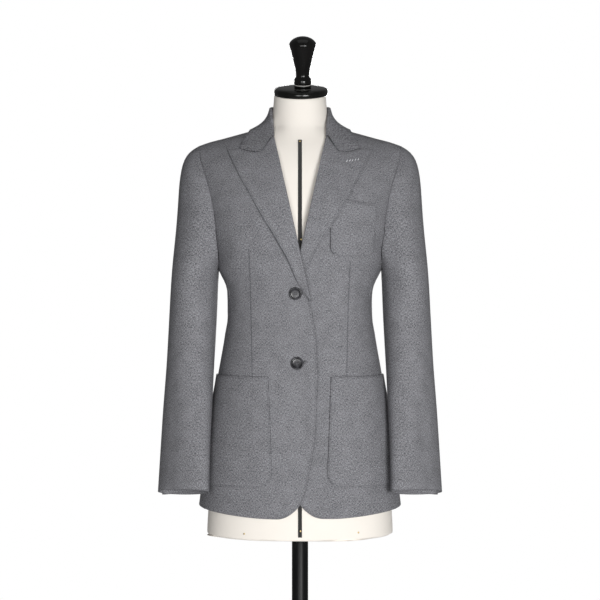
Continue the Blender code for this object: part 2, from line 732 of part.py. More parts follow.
def formBody():
    around = 36
    form = bmesh.new()
    loops = []
    for ring in formRings:
        loop = []
        lean = soft(ring.height, 1.262, formRings[-1].height)
        clear = mix(0.0112, 0.0016, soft(ring.height, 1.100, 1.205))
        for k in range(around):
            turn = 2 * pi * k / around
            depth = ring.front if cos(turn) > 0 else ring.back
            radius = (abs(sin(turn) / ring.half) ** ring.square + abs(cos(turn) / depth) ** ring.square)
            radius = radius ** (-1 / ring.square)
            x, y = radius * sin(turn), -radius * cos(turn)
            if 1.000 < ring.height < 1.2515:
                lifted = min(ring.height + 0.0019, ridgeHeight(x) - 1e-5)
                level = levelAt(x, lifted)
                front = bodyRaw(turnAt(abs(x), level), level).y + clear
                back = bodyRaw(turnAt(abs(x), level, behind=True), level).y - clear
                held = max(y, min(front, ridgeY)) if y < 0 else min(y, max(back, ridgeY))
                bare = 1 - soft(abs(x), 0.030, 0.046) if y < 0 and ring.height > 1.16 else 0.0
                y = mix(held, y, bare)
            y += capCentre.y * lean
            z = ring.height + (y - capCentre.y) * tan(neckTilt) * lean
            loop.append(form.verts.new((x, y, z)))
        loops.append(loop)
    for lower, upper in zip(loops, loops[1:]):
        for k in range(around):
            after = (k + 1) % around
            form.faces.new((lower[k], lower[after], upper[after], upper[k]))
    form.faces.new(list(reversed(loops[0])))
    form.faces.new(loops[-1])
    bmesh.ops.recalc_face_normals(form, faces=form.faces)
    return addObject("form_body", form, jersey, radians(50))


tapeWidth = 0.0070
tapeTop = 1.2200
tapeBottom = 0.5075
tapeWall = 0.0008


def formFront(height):
    return read(formRings, "front", height)


def tape(s, v):
    height = mix(tapeBottom, tapeTop, v)
    return Vector(((s - 0.5) * tapeWidth, -formFront(height) - tapeWall / 2 - 0.0008, height))


# ---- Building ----

def buildJacket():
    sheet("front_right", frontColumns, frontRows, frontPanel(under=False), mirrored=True)
    sheet("front_left", frontColumns, frontRows, frontPanel(under=True))
    sheet("lapel_right", 10, 11, lapel(under=False), mirrored=True)
    sheet("lapel_left", 10, 11, lapel(under=True))
    for side, mirrored in (("right", True), ("left", False)):
        sheet(f"side_{side}", 6, 10, sidePanel, mirrored)
        sheet(f"back_{side}", backColumns, backRows, backPanel, mirrored)
        sheet(f"sleeve_top_{side}", topSleeveColumns, sleeveRows, topSleeve, mirrored)
        sheet(f"sleeve_under_{side}", 12, sleeveRows, underSleeve, mirrored)
        sheet(f"pocket_{side}", 10, 9,
              patch(0.177, 0.596, 0.793, 0.0555, 0.0485, 0.027, under=side == "left"), mirrored)
    sheet("pocket_chest", 5, 8, patch(0.088, 1.0075, 1.105, 0.0540, 0.0540, 0.018, under=False, rows=8))
    sheet("collar", collarColumns, collarRows, collarPlace)
    for name, x, z, stem in (("button_upper", -0.008, 0.942, 0.0012), ("button_lower", -0.005, 0.817, 0.0008)):
        level = levelAt(-x, z)
        facing = bodyNormal(turnAt(-x, level), level)
        seat = frontPlace(-x, z, clothWall / 2 + stem)
        profile = ((0, 0), (buttonRadius * 0.72, 0), (buttonRadius, 0.0011), (buttonRadius, 0.0026),
                   (buttonRadius * 0.93, buttonThickness), (buttonRadius * 0.78, buttonThickness),
                   (buttonRadius * 0.70, 0.0027), (0, 0.0025))
        seat.x = x
        facing.x = -facing.x
        turned(name, profile, horn, seat, facing, steps=24)


def buildForm():
    formBody()
    sheet("form_tape", 1, 40, tape, material=ribbon, wall=tapeWall)
    axis = Vector((0, -sin(neckTilt), cos(neckTilt)))
    capFoot = capCentre + axis * seatGap
    turned("neck_cap", ((0, 0), (0.0475, 0), (0.0500, 0.0020), (0.0505, 0.0050), (0.0500, 0.0085),
                        (0.0465, 0.0110), (0.0300, 0.0135), (0.0165, capHeight), (0, capHeight)),
           lacquer, capFoot, axis)
    knobFoot = capFoot + axis * (capHeight + seatGap) + Vector((knobShift, 0, 0))
    outline = ((0, 0), (0.0160, 0), (0.0168, 0.021), (0.0166, 0.046), (0.0157, 0.077), (0.0163, 0.124),
               (0.0150, 0.173), (0.0124, 0.211), (0.0119, 0.289), (0.0129, 0.345), (0.0147, 0.416),
               (0.0166, 0.493), (0.0184, 0.569), (0.0205, 0.624), (0.0223, 0.689), (0.0240, 0.760),
               (0.0249, 0.814), (0.0243, 0.868), (0.0222, 0.912), (0.0168, 0.954), (0.0092, 0.987), (0, 1))
    turned("neck_knob", tuple((radius, share * knobHeight) for radius, share in outline),
           lacquer, knobFoot, axis, steps=24)
    formFoot = formRings[0].height
    turned("base", ((0, 0), (baseRadius - 0.0015, 0), (baseRadius, 0.0015), (baseRadius, baseThickness - 0.002),
                    (baseRadius - 0.002, baseThickness), (0, baseThickness)), steel, Vector(), steps=48)
    poleFoot = baseThickness + seatGap
    turned("pole", ((0, 0), (poleRadius, 0), (poleRadius, formFoot - seatGap - poleFoot),
                    (0, formFoot - seatGap - poleFoot)), steel, Vector((0, 0, poleFoot)), steps=32)
    socketBore = poleRadius + seatGap
    form = bmesh.new()
    profile = ((socketBore, 0), (0.030, 0), (0.030, 0.006), (0.022, 0.014), (0.022, 0.052),
               (0.0205, 0.055), (socketBore, 0.055))
    points = [form.verts.new((radius, 0, height)) for radius, height in profile]
    edges = [form.edges.new(pair) for pair in zip(points, points[1:] + points[:1])]
    bmesh.ops.spin(form, geom=points + edges, cent=(0, 0, 0), axis=(0, 0, 1), angle=2 * pi, steps=32,
                   use_merge=True, use_duplicate=False)
    bmesh.ops.remove_doubles(form, verts=form.verts, dist=1e-5)
    bmesh.ops.recalc_face_normals(form, faces=form.faces)
    bmesh.ops.translate(form, verts=form.verts, vec=(0, 0, poleFoot))
    addObject("pole_socket", form, steel)


buildJacket()
buildForm()
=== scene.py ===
# The looks of a single breasted blazer on a limbless dress form: finer cloth with its
# creases, sewn edges, buttonholes, pins and finishes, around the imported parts.
# Metres, +Z up, the front faces -Y, the wearer's left is +X.

import random
from collections import namedtuple
from math import cos, pi, radians, sin

import bmesh
import bpy
import numpy as np
from mathutils import Matrix, Vector
from mathutils.bvhtree import BVHTree
from mathutils.kdtree import KDTree


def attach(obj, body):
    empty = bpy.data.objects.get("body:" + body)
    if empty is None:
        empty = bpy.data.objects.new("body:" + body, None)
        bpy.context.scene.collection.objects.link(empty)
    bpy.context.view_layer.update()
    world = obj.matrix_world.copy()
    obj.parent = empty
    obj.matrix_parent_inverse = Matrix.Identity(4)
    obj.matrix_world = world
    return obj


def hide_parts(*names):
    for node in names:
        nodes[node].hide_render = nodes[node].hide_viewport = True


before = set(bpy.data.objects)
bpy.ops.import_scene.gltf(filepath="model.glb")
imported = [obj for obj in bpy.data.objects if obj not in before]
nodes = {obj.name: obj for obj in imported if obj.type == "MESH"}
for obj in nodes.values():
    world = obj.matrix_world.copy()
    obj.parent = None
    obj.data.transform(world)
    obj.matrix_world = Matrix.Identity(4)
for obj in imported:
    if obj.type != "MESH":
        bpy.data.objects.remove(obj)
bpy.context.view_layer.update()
random.seed(36)
print("stage: frame loaded")


view = {"distance": 3.08, "height": 0.93, "lens": 100}
Lamp = namedtuple("Lamp", "place target size power spread")
lamps = {                    # metres, watts and degrees
    "key": Lamp((1.0, -3.0, 0.65), (0.02, 0, 0.88), (1.2, 1.2), 7.5, 50),
    "fill": Lamp((-0.6, -3.3, 0.65), (0, 0, 0.88), (1.3, 1.3), 3.4, 50),
    "top": Lamp((0, -0.4, 3.0), (0, 0, 1.0), (1.6, 1.2), 3, 180),
    "behind": Lamp((0.3, 3.4, 1.3), (0, 0, 0.9), (1.6, 1.4), 110, 180),
}
surround = 0.15              # how strongly the pale room lights the object
floorDisc = {"radius": 1.9, "fadesFrom": 0.7}


def setCamera():
    data = bpy.data.cameras.new("camera")
    data.lens = view["lens"]
    data.sensor_width = 36
    camera = bpy.data.objects.new("camera", data)
    camera.location = (0, -view["distance"], view["height"])
    camera.rotation_euler = (pi / 2, 0, 0)
    bpy.context.scene.collection.objects.link(camera)
    bpy.context.scene.camera = camera


def hangLamp(name, lamp):
    data = bpy.data.lights.new(name, "AREA")
    data.shape = "RECTANGLE"
    data.size, data.size_y = lamp.size
    data.energy = lamp.power
    data.spread = radians(lamp.spread)
    light = bpy.data.objects.new(name, data)
    light.location = lamp.place
    light.rotation_euler = (Vector(lamp.target) - Vector(lamp.place)).to_track_quat("-Z", "Y").to_euler()
    bpy.context.scene.collection.objects.link(light)


def setStudio():
    for name, lamp in lamps.items():
        hangLamp(name, lamp)
    world = bpy.data.worlds.new("surround")
    world.use_nodes = True
    bpy.context.scene.world = world
    tree = world.node_tree
    tree.nodes.clear()
    seen = addNode(tree, "ShaderNodeLightPath")
    lit = addNode(tree, "ShaderNodeBackground", {"Color": (1, 1, 1, 1), "Strength": surround})
    plain = addNode(tree, "ShaderNodeBackground", {"Color": (1, 1, 1, 1), "Strength": 1.0})
    both = addNode(tree, "ShaderNodeMixShader", {0: seen.outputs["Is Camera Ray"], 1: lit.outputs[0],
                                                 2: plain.outputs[0]})
    addNode(tree, "ShaderNodeOutputWorld", {"Surface": both.outputs[0]})
    bpy.context.scene.view_settings.view_transform = "Standard"


def layFloor():
    shape = bmesh.new()
    bmesh.ops.create_circle(shape, cap_ends=True, segments=64, radius=floorDisc["radius"])
    floor = toObject("floor", shape)
    material, tree, shader = newMaterial("paleFloor", roughness=0.7)
    place = ownPlace(tree)
    paint(tree, shader, mixColour(tree, noiseAt(tree, place, 3.0), (0.86, 0.86, 0.86), (0.89, 0.89, 0.89)))
    away = addNode(tree, "ShaderNodeVectorMath", {0: place}, operation="LENGTH").outputs["Value"]
    fade = rangeOf(tree, away, floorDisc["fadesFrom"], floorDisc["radius"], 1.0, 0.0)
    tree.links.new(fade, shader.inputs["Alpha"])
    floor.data.materials.append(material)


def addNode(tree, kind, inputs=None, **settings):
    item = tree.nodes.new(kind)
    for key, value in settings.items():
        setattr(item, key, value)
    for key, value in (inputs or {}).items():
        if isinstance(value, bpy.types.NodeSocket):
            tree.links.new(value, item.inputs[key])
        else:
            item.inputs[key].default_value = value
    return item


def newMaterial(name, roughness=0.5, metallic=0.0, **sockets):
    material = bpy.data.materials.new(name)
    material.use_nodes = True
    tree = material.node_tree
    shader = tree.nodes["Principled BSDF"]
    shader.inputs["Roughness"].default_value = roughness
    shader.inputs["Metallic"].default_value = metallic
    for key, value in sockets.items():
        shader.inputs[key.replace("_", " ")].default_value = value
    return material, tree, shader


def calc(tree, operation, first, second=0.0):
    return addNode(tree, "ShaderNodeMath", {0: first, 1: second}, operation=operation).outputs[0]


def attribute(tree, name, vector=False):
    return addNode(tree, "ShaderNodeAttribute", attribute_name=name).outputs["Vector" if vector else "Fac"]


def ownPlace(tree):
    return addNode(tree, "ShaderNodeTexCoord").outputs["Object"]


def stretched(tree, place, scale):
    return addNode(tree, "ShaderNodeMapping", {"Vector": place, "Scale": scale}).outputs[0]


def noiseAt(tree, place, scale, detail=2.0, roughness=0.55):
    return addNode(tree, "ShaderNodeTexNoise",
                   {"Vector": place, "Scale": scale, "Detail": detail, "Roughness": roughness}).outputs["Fac"]


def rangeOf(tree, value, low, high, start=0.0, end=1.0):
    return addNode(tree, "ShaderNodeMapRange", {0: value, 1: low, 2: high, 3: start, 4: end},
                   interpolation_type="SMOOTHSTEP").outputs[0]


def mixColour(tree, share, first, second):
    mixer = addNode(tree, "ShaderNodeMix", {0: share}, data_type="RGBA")
    for socket, value in ((mixer.inputs[6], first), (mixer.inputs[7], second)):
        if isinstance(value, bpy.types.NodeSocket):
            tree.links.new(value, socket)
        else:
            socket.default_value = (*value, 1.0)
    return mixer.outputs[2]


def paint(tree, shader, colour):
    tree.links.new(colour, shader.inputs["Base Color"])


def emboss(tree, shader, height, distance, strength=1.0):
    bump = addNode(tree, "ShaderNodeBump", {"Height": height, "Distance": distance, "Strength": strength})
    tree.links.new(bump.outputs[0], shader.inputs["Normal"])


def toObject(name, shape, material=None, smooth=40):
    mesh = bpy.data.meshes.new(name)
    shape.to_mesh(mesh)
    shape.free()
    if material:
        mesh.materials.append(material)
    mesh.shade_smooth()
    mesh.set_sharp_from_angle(angle=radians(smooth))
    item = bpy.data.objects.new(name, mesh)
    bpy.context.scene.collection.objects.link(item)
    return item


def placeOf(mesh):
    points = np.empty(len(mesh.vertices) * 3)
    mesh.vertices.foreach_get("co", points)
    return points.reshape(-1, 3)


def normalOf(mesh):
    normals = np.empty(len(mesh.vertices) * 3)
    mesh.vertex_normals.foreach_get("vector", normals)
    return normals.reshape(-1, 3)


def setPlace(mesh, points):
    mesh.vertices.foreach_set("co", points.ravel())
    mesh.update()


def setAttribute(mesh, name, values):
    kind = "FLOAT_VECTOR" if values.ndim == 2 else "FLOAT"
    layer = mesh.attributes.new(name, kind, "POINT")
    layer.data.foreach_set("vector" if values.ndim == 2 else "value", values.astype(np.float32).ravel())


def evaluated(item):
    return bpy.data.meshes.new_from_object(item.evaluated_get(bpy.context.evaluated_depsgraph_get()))


def treeOf(places):
    tree = KDTree(len(places))
    for index, place in enumerate(places):
        tree.insert(place, index)
    tree.balance()
    return tree


# Takes a shape that stands on the origin to a foot and a direction
def standOn(foot, axis):
    turn = Vector((0, 0, 1)).rotation_difference(axis).to_matrix().to_4x4()
    return Matrix.Translation(foot) @ turn


# 0 below low, 1 above high, and a soft curve between them
def ramp(values, low, high):
    share = np.clip((values - low) / (high - low), 0, 1)
    return share * share * (3 - 2 * share)


wool = {
    "dark": (0.060, 0.060, 0.065), "light": (0.300, 0.300, 0.320), "shadow": (0.045, 0.045, 0.05),
    "warp": (1200, 330, 1), "weft": (320, 1100, 1), "mottle": 560, "cloud": 38, "twill": 540,
    "shares": (0.42, 0.32, 0.20, 0.06),      # of warp, weft, mottle and cloud in the mixed yarn
    "range": (0.40, 0.60), "sheen": 0.02,
    "row": 0.0027, "rowHalf": (0.0002, 0.0013), "dartHalf": (0.0003, 0.0017),
    "fold": 0.0013, "foldShade": 0.4,        # how far from the turned edge the painted shade reaches, and how dark it is
}


def woolMaterial():
    material, tree, shader = newMaterial("woolTwill", roughness=0.82, Sheen_Weight=wool["sheen"],
                                         Sheen_Roughness=0.45, Specular_IOR_Level=0.22)
    cloth = attribute(tree, "cloth", vector=True)
    grains = (noiseAt(tree, stretched(tree, cloth, wool["warp"]), 1.0),
              noiseAt(tree, stretched(tree, cloth, wool["weft"]), 1.0),
              noiseAt(tree, cloth, wool["mottle"], 3.0, 0.8),
              noiseAt(tree, cloth, wool["cloud"]))
    parts = [calc(tree, "MULTIPLY", grain, share) for grain, share in zip(grains, wool["shares"])]
    heather = parts[0]
    for part in parts[1:]:
        heather = calc(tree, "ADD", heather, part)
    tone = mixColour(tree, rangeOf(tree, heather, *wool["range"]), wool["dark"], wool["light"])
    twill = addNode(tree, "ShaderNodeTexWave", {"Vector": cloth, "Scale": wool["twill"], "Distortion": 0.6},
                    bands_direction="DIAGONAL").outputs["Fac"]
    rim = attribute(tree, "rim")
    # Painted shade in the grooves: the pick-stitch rows and dart lines are sunk in the bump and are also
    # painted darker, towards the shadow colour
    fromRow = calc(tree, "ABSOLUTE", calc(tree, "SUBTRACT", rim, wool["row"]))
    row = calc(tree, "MULTIPLY", rangeOf(tree, fromRow, *wool["rowHalf"], 1.0, 0.0), attribute(tree, "sewn"))
    dart = rangeOf(tree, calc(tree, "ABSOLUTE", attribute(tree, "dart")), *wool["dartHalf"], 1.0, 0.0)
    groovesSunkAndShaded = calc(tree, "MAXIMUM", calc(tree, "MULTIPLY", row, 0.5), dart)
    # Painted shade: a narrow band along each piece's edge is painted darker, towards the shadow colour
    paintedEdgeShade = rangeOf(tree, rim, 0.0, wool["fold"], wool["foldShade"], 0.0)
    shade = calc(tree, "MAXIMUM", calc(tree, "MULTIPLY", groovesSunkAndShaded, 0.5), paintedEdgeShade)
    paint(tree, shader, mixColour(tree, shade, tone, wool["shadow"]))
    relief = calc(tree, "ADD", calc(tree, "MULTIPLY", twill, 0.22), calc(tree, "MULTIPLY", heather, 0.5))
    relief = calc(tree, "SUBTRACT", relief, calc(tree, "MULTIPLY", groovesSunkAndShaded, 0.8))
    emboss(tree, shader, relief, 0.00022, 0.6)
    return material


def threadMaterial(name, colour):
    material, tree, shader = newMaterial(name, roughness=0.6, Sheen_Weight=0.3, Specular_IOR_Level=0.3)
    twist = addNode(tree, "ShaderNodeTexWave", {"Vector": ownPlace(tree), "Scale": 480},
                    bands_direction="DIAGONAL").outputs["Fac"]
    paint(tree, shader, mixColour(tree, twist, tuple(0.7 * part for part in colour), colour))
    emboss(tree, shader, twist, 0.0001)
    return material


def hornMaterial():
    material, tree, shader = newMaterial("darkHorn", roughness=0.30, Coat_Weight=0.15, Coat_Roughness=0.15,
                                         Specular_IOR_Level=0.35)
    place = ownPlace(tree)
    bands = {"Vector": place, "Scale": 26, "Distortion": 9.0, "Detail": 3.0, "Detail Scale": 1.6}
    grain = addNode(tree, "ShaderNodeTexWave", bands, bands_direction="X").outputs["Fac"]
    cloud = noiseAt(tree, place, 240, 3.0)
    share = rangeOf(tree, calc(tree, "MULTIPLY", grain, cloud), 0.1, 0.6)
    paint(tree, shader, mixColour(tree, share, (0.008, 0.008, 0.010), (0.040, 0.040, 0.046)))
    emboss(tree, shader, noiseAt(tree, place, 900), 0.00004)
    return material


def jerseyMaterial():
    material, tree, shader = newMaterial("creamJersey", roughness=0.9, Sheen_Weight=0.15,
                                         Specular_IOR_Level=0.15)
    place = ownPlace(tree)
    rib = addNode(tree, "ShaderNodeTexWave", {"Vector": place, "Scale": 240, "Distortion": 0.4},
                  bands_direction="X").outputs["Fac"]
    course = addNode(tree, "ShaderNodeTexWave", {"Vector": place, "Scale": 210, "Distortion": 0.4},
                     bands_direction="Z").outputs["Fac"]
    knit = calc(tree, "MULTIPLY", rib, course)
    cloud = noiseAt(tree, place, 12, 3.0)
    base = mixColour(tree, cloud, (0.85, 0.80, 0.735), (0.92, 0.875, 0.81))
    paint(tree, shader, mixColour(tree, calc(tree, "MULTIPLY", knit, 0.35), base, (0.80, 0.74, 0.66)))
    emboss(tree, shader, knit, 0.0002, 0.5)
    return material


def ribbonMaterial():
    material, tree, shader = newMaterial("blackRibbon", roughness=0.75, Sheen_Weight=0.2)
    place = ownPlace(tree)
    ribs = addNode(tree, "ShaderNodeTexWave", {"Vector": place, "Scale": 420},
                   bands_direction="Z").outputs["Fac"]
    paint(tree, shader, mixColour(tree, ribs, (0.010, 0.0095, 0.009), (0.034, 0.032, 0.031)))
    emboss(tree, shader, ribs, 0.0002)
    return material


def lacquerMaterial():
    material, tree, shader = newMaterial("blackLacquer", roughness=0.16, Specular_IOR_Level=0.24,
                                         Coat_Weight=0.10, Coat_Roughness=0.05)
    place = ownPlace(tree)
    grain = noiseAt(tree, stretched(tree, place, (90, 90, 14)), 1.0, 4.0)
    paint(tree, shader, mixColour(tree, grain, (0.003, 0.003, 0.003), (0.009, 0.0085, 0.008)))
    emboss(tree, shader, noiseAt(tree, place, 260, 3.0), 0.0004, 0.3)
    return material


def steelMaterial():
    material, tree, shader = newMaterial("blackSteel", roughness=0.36, Specular_IOR_Level=0.16)
    place = ownPlace(tree)
    cloud = noiseAt(tree, place, 30)
    paint(tree, shader, mixColour(tree, cloud, (0.004, 0.0042, 0.0046), (0.007, 0.0074, 0.0080)))
    emboss(tree, shader, noiseAt(tree, place, 700), 0.00005, 0.5)
    return material


def brassMaterial():
    material, tree, shader = newMaterial("brassPin", roughness=0.28, metallic=1.0)
    cloud = noiseAt(tree, ownPlace(tree), 900)
    paint(tree, shader, mixColour(tree, cloud, (0.55, 0.40, 0.17), (0.75, 0.58, 0.28)))
    return material


def pewterMaterial():
    material, tree, shader = newMaterial("paleMetal", roughness=0.42, metallic=0.35)
    cloud = noiseAt(tree, ownPlace(tree), 700)
    paint(tree, shader, mixColour(tree, cloud, (0.62, 0.60, 0.56), (0.80, 0.78, 0.74)))
    return material


finishes = {
    "wool": woolMaterial(), "horn": hornMaterial(), "jersey": jerseyMaterial(),
    "ribbon": ribbonMaterial(), "lacquer": lacquerMaterial(), "steel": steelMaterial(),
    "brass": brassMaterial(), "pewter": pewterMaterial(),
    "greyThread": threadMaterial("greyThread", (0.12, 0.12, 0.13)),
    "lightThread": threadMaterial("lightThread", (0.80, 0.81, 0.84)),
    "darkThreadAndEyeShade": threadMaterial("darkThreadAndEyeShade", (0.020, 0.020, 0.023)),
}
print("stage: finishes made")


Crease = namedtuple("Crease", "face line width depth")
torsoCreases = (             # face: which side of the body; line: (across, height); depth below 0 is a trough
    Crease("front", ((0.131, 1.048), (0.144, 1.026), (0.155, 1.004)), 0.012, -0.0030),
    Crease("front", ((0.139, 1.060), (0.152, 1.042)), 0.012, 0.0014),
    Crease("front", ((-0.124, 1.050), (-0.139, 1.020), (-0.148, 0.985)), 0.014, -0.0024),
    Crease("front", ((-0.112, 1.060), (-0.122, 1.010), (-0.128, 0.950)), 0.020, 0.0018),
    Crease("front", ((0.110, 0.955), (0.128, 0.925), (0.138, 0.900)), 0.016, -0.0020),
    Crease("front", ((-0.020, 0.935), (-0.060, 0.928), (-0.105, 0.940)), 0.016, -0.0013),
    Crease("front", ((0.030, 0.915), (0.070, 0.905), (0.118, 0.918)), 0.017, -0.0014),
    Crease("front", ((0.060, 0.760), (0.066, 0.690), (0.058, 0.610)), 0.030, 0.0014),
    Crease("front", ((-0.120, 0.780), (-0.128, 0.700), (-0.122, 0.590)), 0.030, -0.0016),
    Crease("front", ((-0.030, 0.720), (-0.038, 0.640), (-0.050, 0.560)), 0.030, 0.0013),
    Crease("front", ((0.140, 0.740), (0.150, 0.660), (0.150, 0.560)), 0.024, -0.0015),
    Crease("back", ((0.020, 0.935), (0.066, 0.925), (0.120, 0.940)), 0.018, -0.0026),
    Crease("back", ((-0.015, 0.915), (-0.060, 0.902), (-0.118, 0.922)), 0.020, -0.0024),
    Crease("back", ((-0.030, 0.955), (-0.085, 0.952), (-0.125, 0.968)), 0.016, 0.0016),
    Crease("back", ((0.120, 1.120), (0.132, 1.060), (0.128, 0.990)), 0.022, -0.0030),
    Crease("back", ((-0.126, 1.110), (-0.134, 1.045), (-0.128, 0.975)), 0.021, -0.0027),
    Crease("back", ((0.045, 0.800), (0.060, 0.700), (0.062, 0.570)), 0.034, 0.0022),
    Crease("back", ((-0.052, 0.820), (-0.070, 0.710), (-0.066, 0.580)), 0.036, 0.0020),
    Crease("back", ((-0.110, 0.780), (-0.126, 0.680), (-0.128, 0.560)), 0.028, -0.0019),
    Crease("back", ((0.105, 0.790), (0.118, 0.690), (0.124, 0.560)), 0.026, -0.0020),
    Crease("side", ((-0.040, 0.985), (0.000, 0.955), (0.045, 0.972)), 0.015, -0.0018),
    Crease("side", ((-0.030, 0.905), (0.010, 0.890), (0.050, 0.905)), 0.014, -0.0020),
    Crease("side", ((0.020, 0.780), (0.028, 0.680), (0.020, 0.570)), 0.028, 0.0016),
)
armCreases = (               # line: (angle round the arm in degrees, 0 outward and 90 in front; height)
    Crease("right", ((128, 1.040), (112, 0.960), (100, 0.880)), 0.016, -0.0022),
    Crease("right", ((60, 0.905), (95, 0.885), (135, 0.900)), 0.015, -0.0020),
    Crease("right", ((40, 0.845), (80, 0.832), (120, 0.848)), 0.014, 0.0013),
    Crease("right", ((-60, 1.080), (-75, 1.000), (-80, 0.930)), 0.018, -0.0026),
    Crease("right", ((-40, 0.850), (-85, 0.838), (-120, 0.856)), 0.014, -0.0022),
    Crease("right", ((-50, 0.800), (-90, 0.794)), 0.013, -0.0016),
    Crease("right", ((74, 0.780), (80, 0.690), (78, 0.600)), 0.017, 0.0015),
    Crease("left", ((124, 1.050), (108, 0.965), (92, 0.900)), 0.018, -0.0024),
    Crease("left", ((55, 0.915), (90, 0.902), (128, 0.918)), 0.014, -0.0018),
    Crease("left", ((50, 0.870), (84, 0.856), (112, 0.866)), 0.013, 0.0012),
    Crease("left", ((70, 0.760), (62, 0.680), (64, 0.600)), 0.018, -0.0018),
    Crease("left", ((96, 0.740), (92, 0.660), (94, 0.596)), 0.016, 0.0016),
    Crease("left", ((-62, 1.070), (-72, 0.990), (-84, 0.925)), 0.019, -0.0028),
    Crease("left", ((-44, 0.862), (-80, 0.846), (-118, 0.860)), 0.014, -0.0020),
    Crease("left", ((-64, 0.815), (-100, 0.806)), 0.012, -0.0015),
)


# The crease's own points with a soft curve through them
def smoothLine(line, steps=18):
    rows = np.array(line, float)
    if len(rows) == 2:
        return np.linspace(rows[0], rows[1], steps)
    share = np.linspace(0, 1, steps)[:, None]
    bend = rows[1] * 2 - (rows[0] + rows[2]) / 2
    return rows[0] * (1 - share) ** 2 + bend * 2 * share * (1 - share) + rows[2] * share ** 2


# How far one crease moves each flat place: full along its middle, fading at both ends
def creaseField(flat, crease, acrossScale=1.0):
    line = smoothLine(crease.line)
    line[:, 0] *= acrossScale
    gaps = np.linalg.norm(flat[:, None, :] - line[None, :, :], axis=2)
    nearest = gaps.argmin(axis=1)
    share = nearest / (len(line) - 1)
    fade = np.sin(pi * np.clip(share, 0.0, 1.0)) ** 0.7
    soft = np.clip(1 - (gaps.min(axis=1) / (crease.width * 1.6)) ** 2, 0, 1) ** 2
    return crease.depth * fade * soft


body = {"half": 0.17, "deep": 0.12, "chest": 1.10, "slope": 0.13}       # an egg round the torso
arm = {                      # the arm's middle, from the cuff up to where it hangs straight
    "cuff": 0.57, "rise": 0.40, "outLow": 0.2105, "outHigh": 0.1940, "foreLow": -0.0780, "back": 0.0720,
    "bend": 0.85, "radius": 0.050, "calm": (1.08, 1.14),
}
sleeveHead = (1.10, 1.19)    # heights over which a sleeve turns in to the shoulder
anyHeight = 9.0


def torsoOutward(points):
    away = np.stack([points[:, 0] / body["half"] ** 2, points[:, 1] / body["deep"] ** 2,
                     np.clip(points[:, 2] - body["chest"], 0, 1) / body["slope"] ** 2], axis=1)
    return away / np.linalg.norm(away, axis=1, keepdims=True)


# Middle of the arm at each height, as (x, y)
def armAxis(heights, side):
    lift = np.clip((heights - arm["cuff"]) / arm["rise"], 0, 1)
    x = arm["outLow"] + (arm["outHigh"] - arm["outLow"]) * lift
    y = arm["foreLow"] + arm["back"] * lift ** arm["bend"]
    return side * x, y


calmSpots = ((-0.008, 0.942), (-0.005, 0.817))       # the cloth lies flat round each button
calmZone = (0.014, 0.030)


def creaseTorso(points):
    away = torsoOutward(points)
    moved = np.zeros(len(points))
    for crease in torsoCreases:
        if crease.face == "side":
            here = ramp(np.abs(points[:, 0]), 0.10, 0.13)
            flat = points[:, 1:3]
        else:
            here = ramp(points[:, 1] * (-1 if crease.face == "front" else 1), -0.01, 0.02)
            flat = points[:, [0, 2]]
        moved += creaseField(flat, crease) * here
    calm = np.max([1 - ramp(np.hypot(points[:, 0] - x, points[:, 2] - z), *calmZone) for x, z in calmSpots],
                  axis=0)
    moved *= 1 - calm * (points[:, 1] < 0)
    return points + away * moved[:, None]


rollLine = {"foot": 0.925, "tall": 0.30, "wide": 0.0673, "overlap": 0.0178}
lapelRise = {"lapel_right": 0.0060, "lapel_left": 0.0024, "from": 0.948, "full": 0.990, "fades": 1.125,
             "free": (0.004, 0.030)}


# How far from the middle the lapel folds over at each height
def rollAt(heights):
    return (heights - rollLine["foot"]) / rollLine["tall"] * rollLine["wide"] - rollLine["overlap"]


# The lower lapel rolls, so its free edge stands a little off the chest
def liftLapel(points, name):
    free = ramp(np.abs(points[:, 0]) - rollAt(points[:, 2]), *lapelRise["free"])
    tall = ramp(points[:, 2], lapelRise["from"], lapelRise["full"])
    tall *= 1 - ramp(points[:, 2], lapelRise["full"], lapelRise["fades"])
    return points + torsoOutward(points) * (lapelRise[name] * free * tall)[:, None]


frontRise = {"height": 0.0036, "start": 0.008, "end": 0.021, "foot": (0.560, 0.660), "top": (0.920, 0.980)}


# The right front's free edge stands a little off the left front under it
def liftFrontEdge(points):
    free = ramp(points[:, 0], frontRise["start"], frontRise["end"]) * (points[:, 1] < 0)
    tall = ramp(points[:, 2], *frontRise["foot"]) * (1 - ramp(points[:, 2], *frontRise["top"]))
    return points + torsoOutward(points) * (frontRise["height"] * free * tall)[:, None]


def armAngle(points, side):
    x, y = armAxis(points[:, 2], side)
    return np.degrees(np.arctan2(-(points[:, 1] - y), (points[:, 0] - x) * side))


def creaseArm(points, side):
    x, y = armAxis(points[:, 2], side)
    away = np.stack([points[:, 0] - x, points[:, 1] - y, np.zeros(len(points))], axis=1)
    away /= np.linalg.norm(away, axis=1, keepdims=True)
    angle = armAngle(points, side)
    perDegree = arm["radius"] * pi / 180
    flat = np.stack([angle * perDegree, points[:, 2]], axis=1)
    moved = np.zeros(len(points))
    for crease in armCreases:
        if crease.face == ("left" if side > 0 else "right"):
            moved += creaseField(flat, crease, acrossScale=perDegree)
    moved *= 1 - ramp(points[:, 2], *arm["calm"])
    return points + away * moved[:, None]


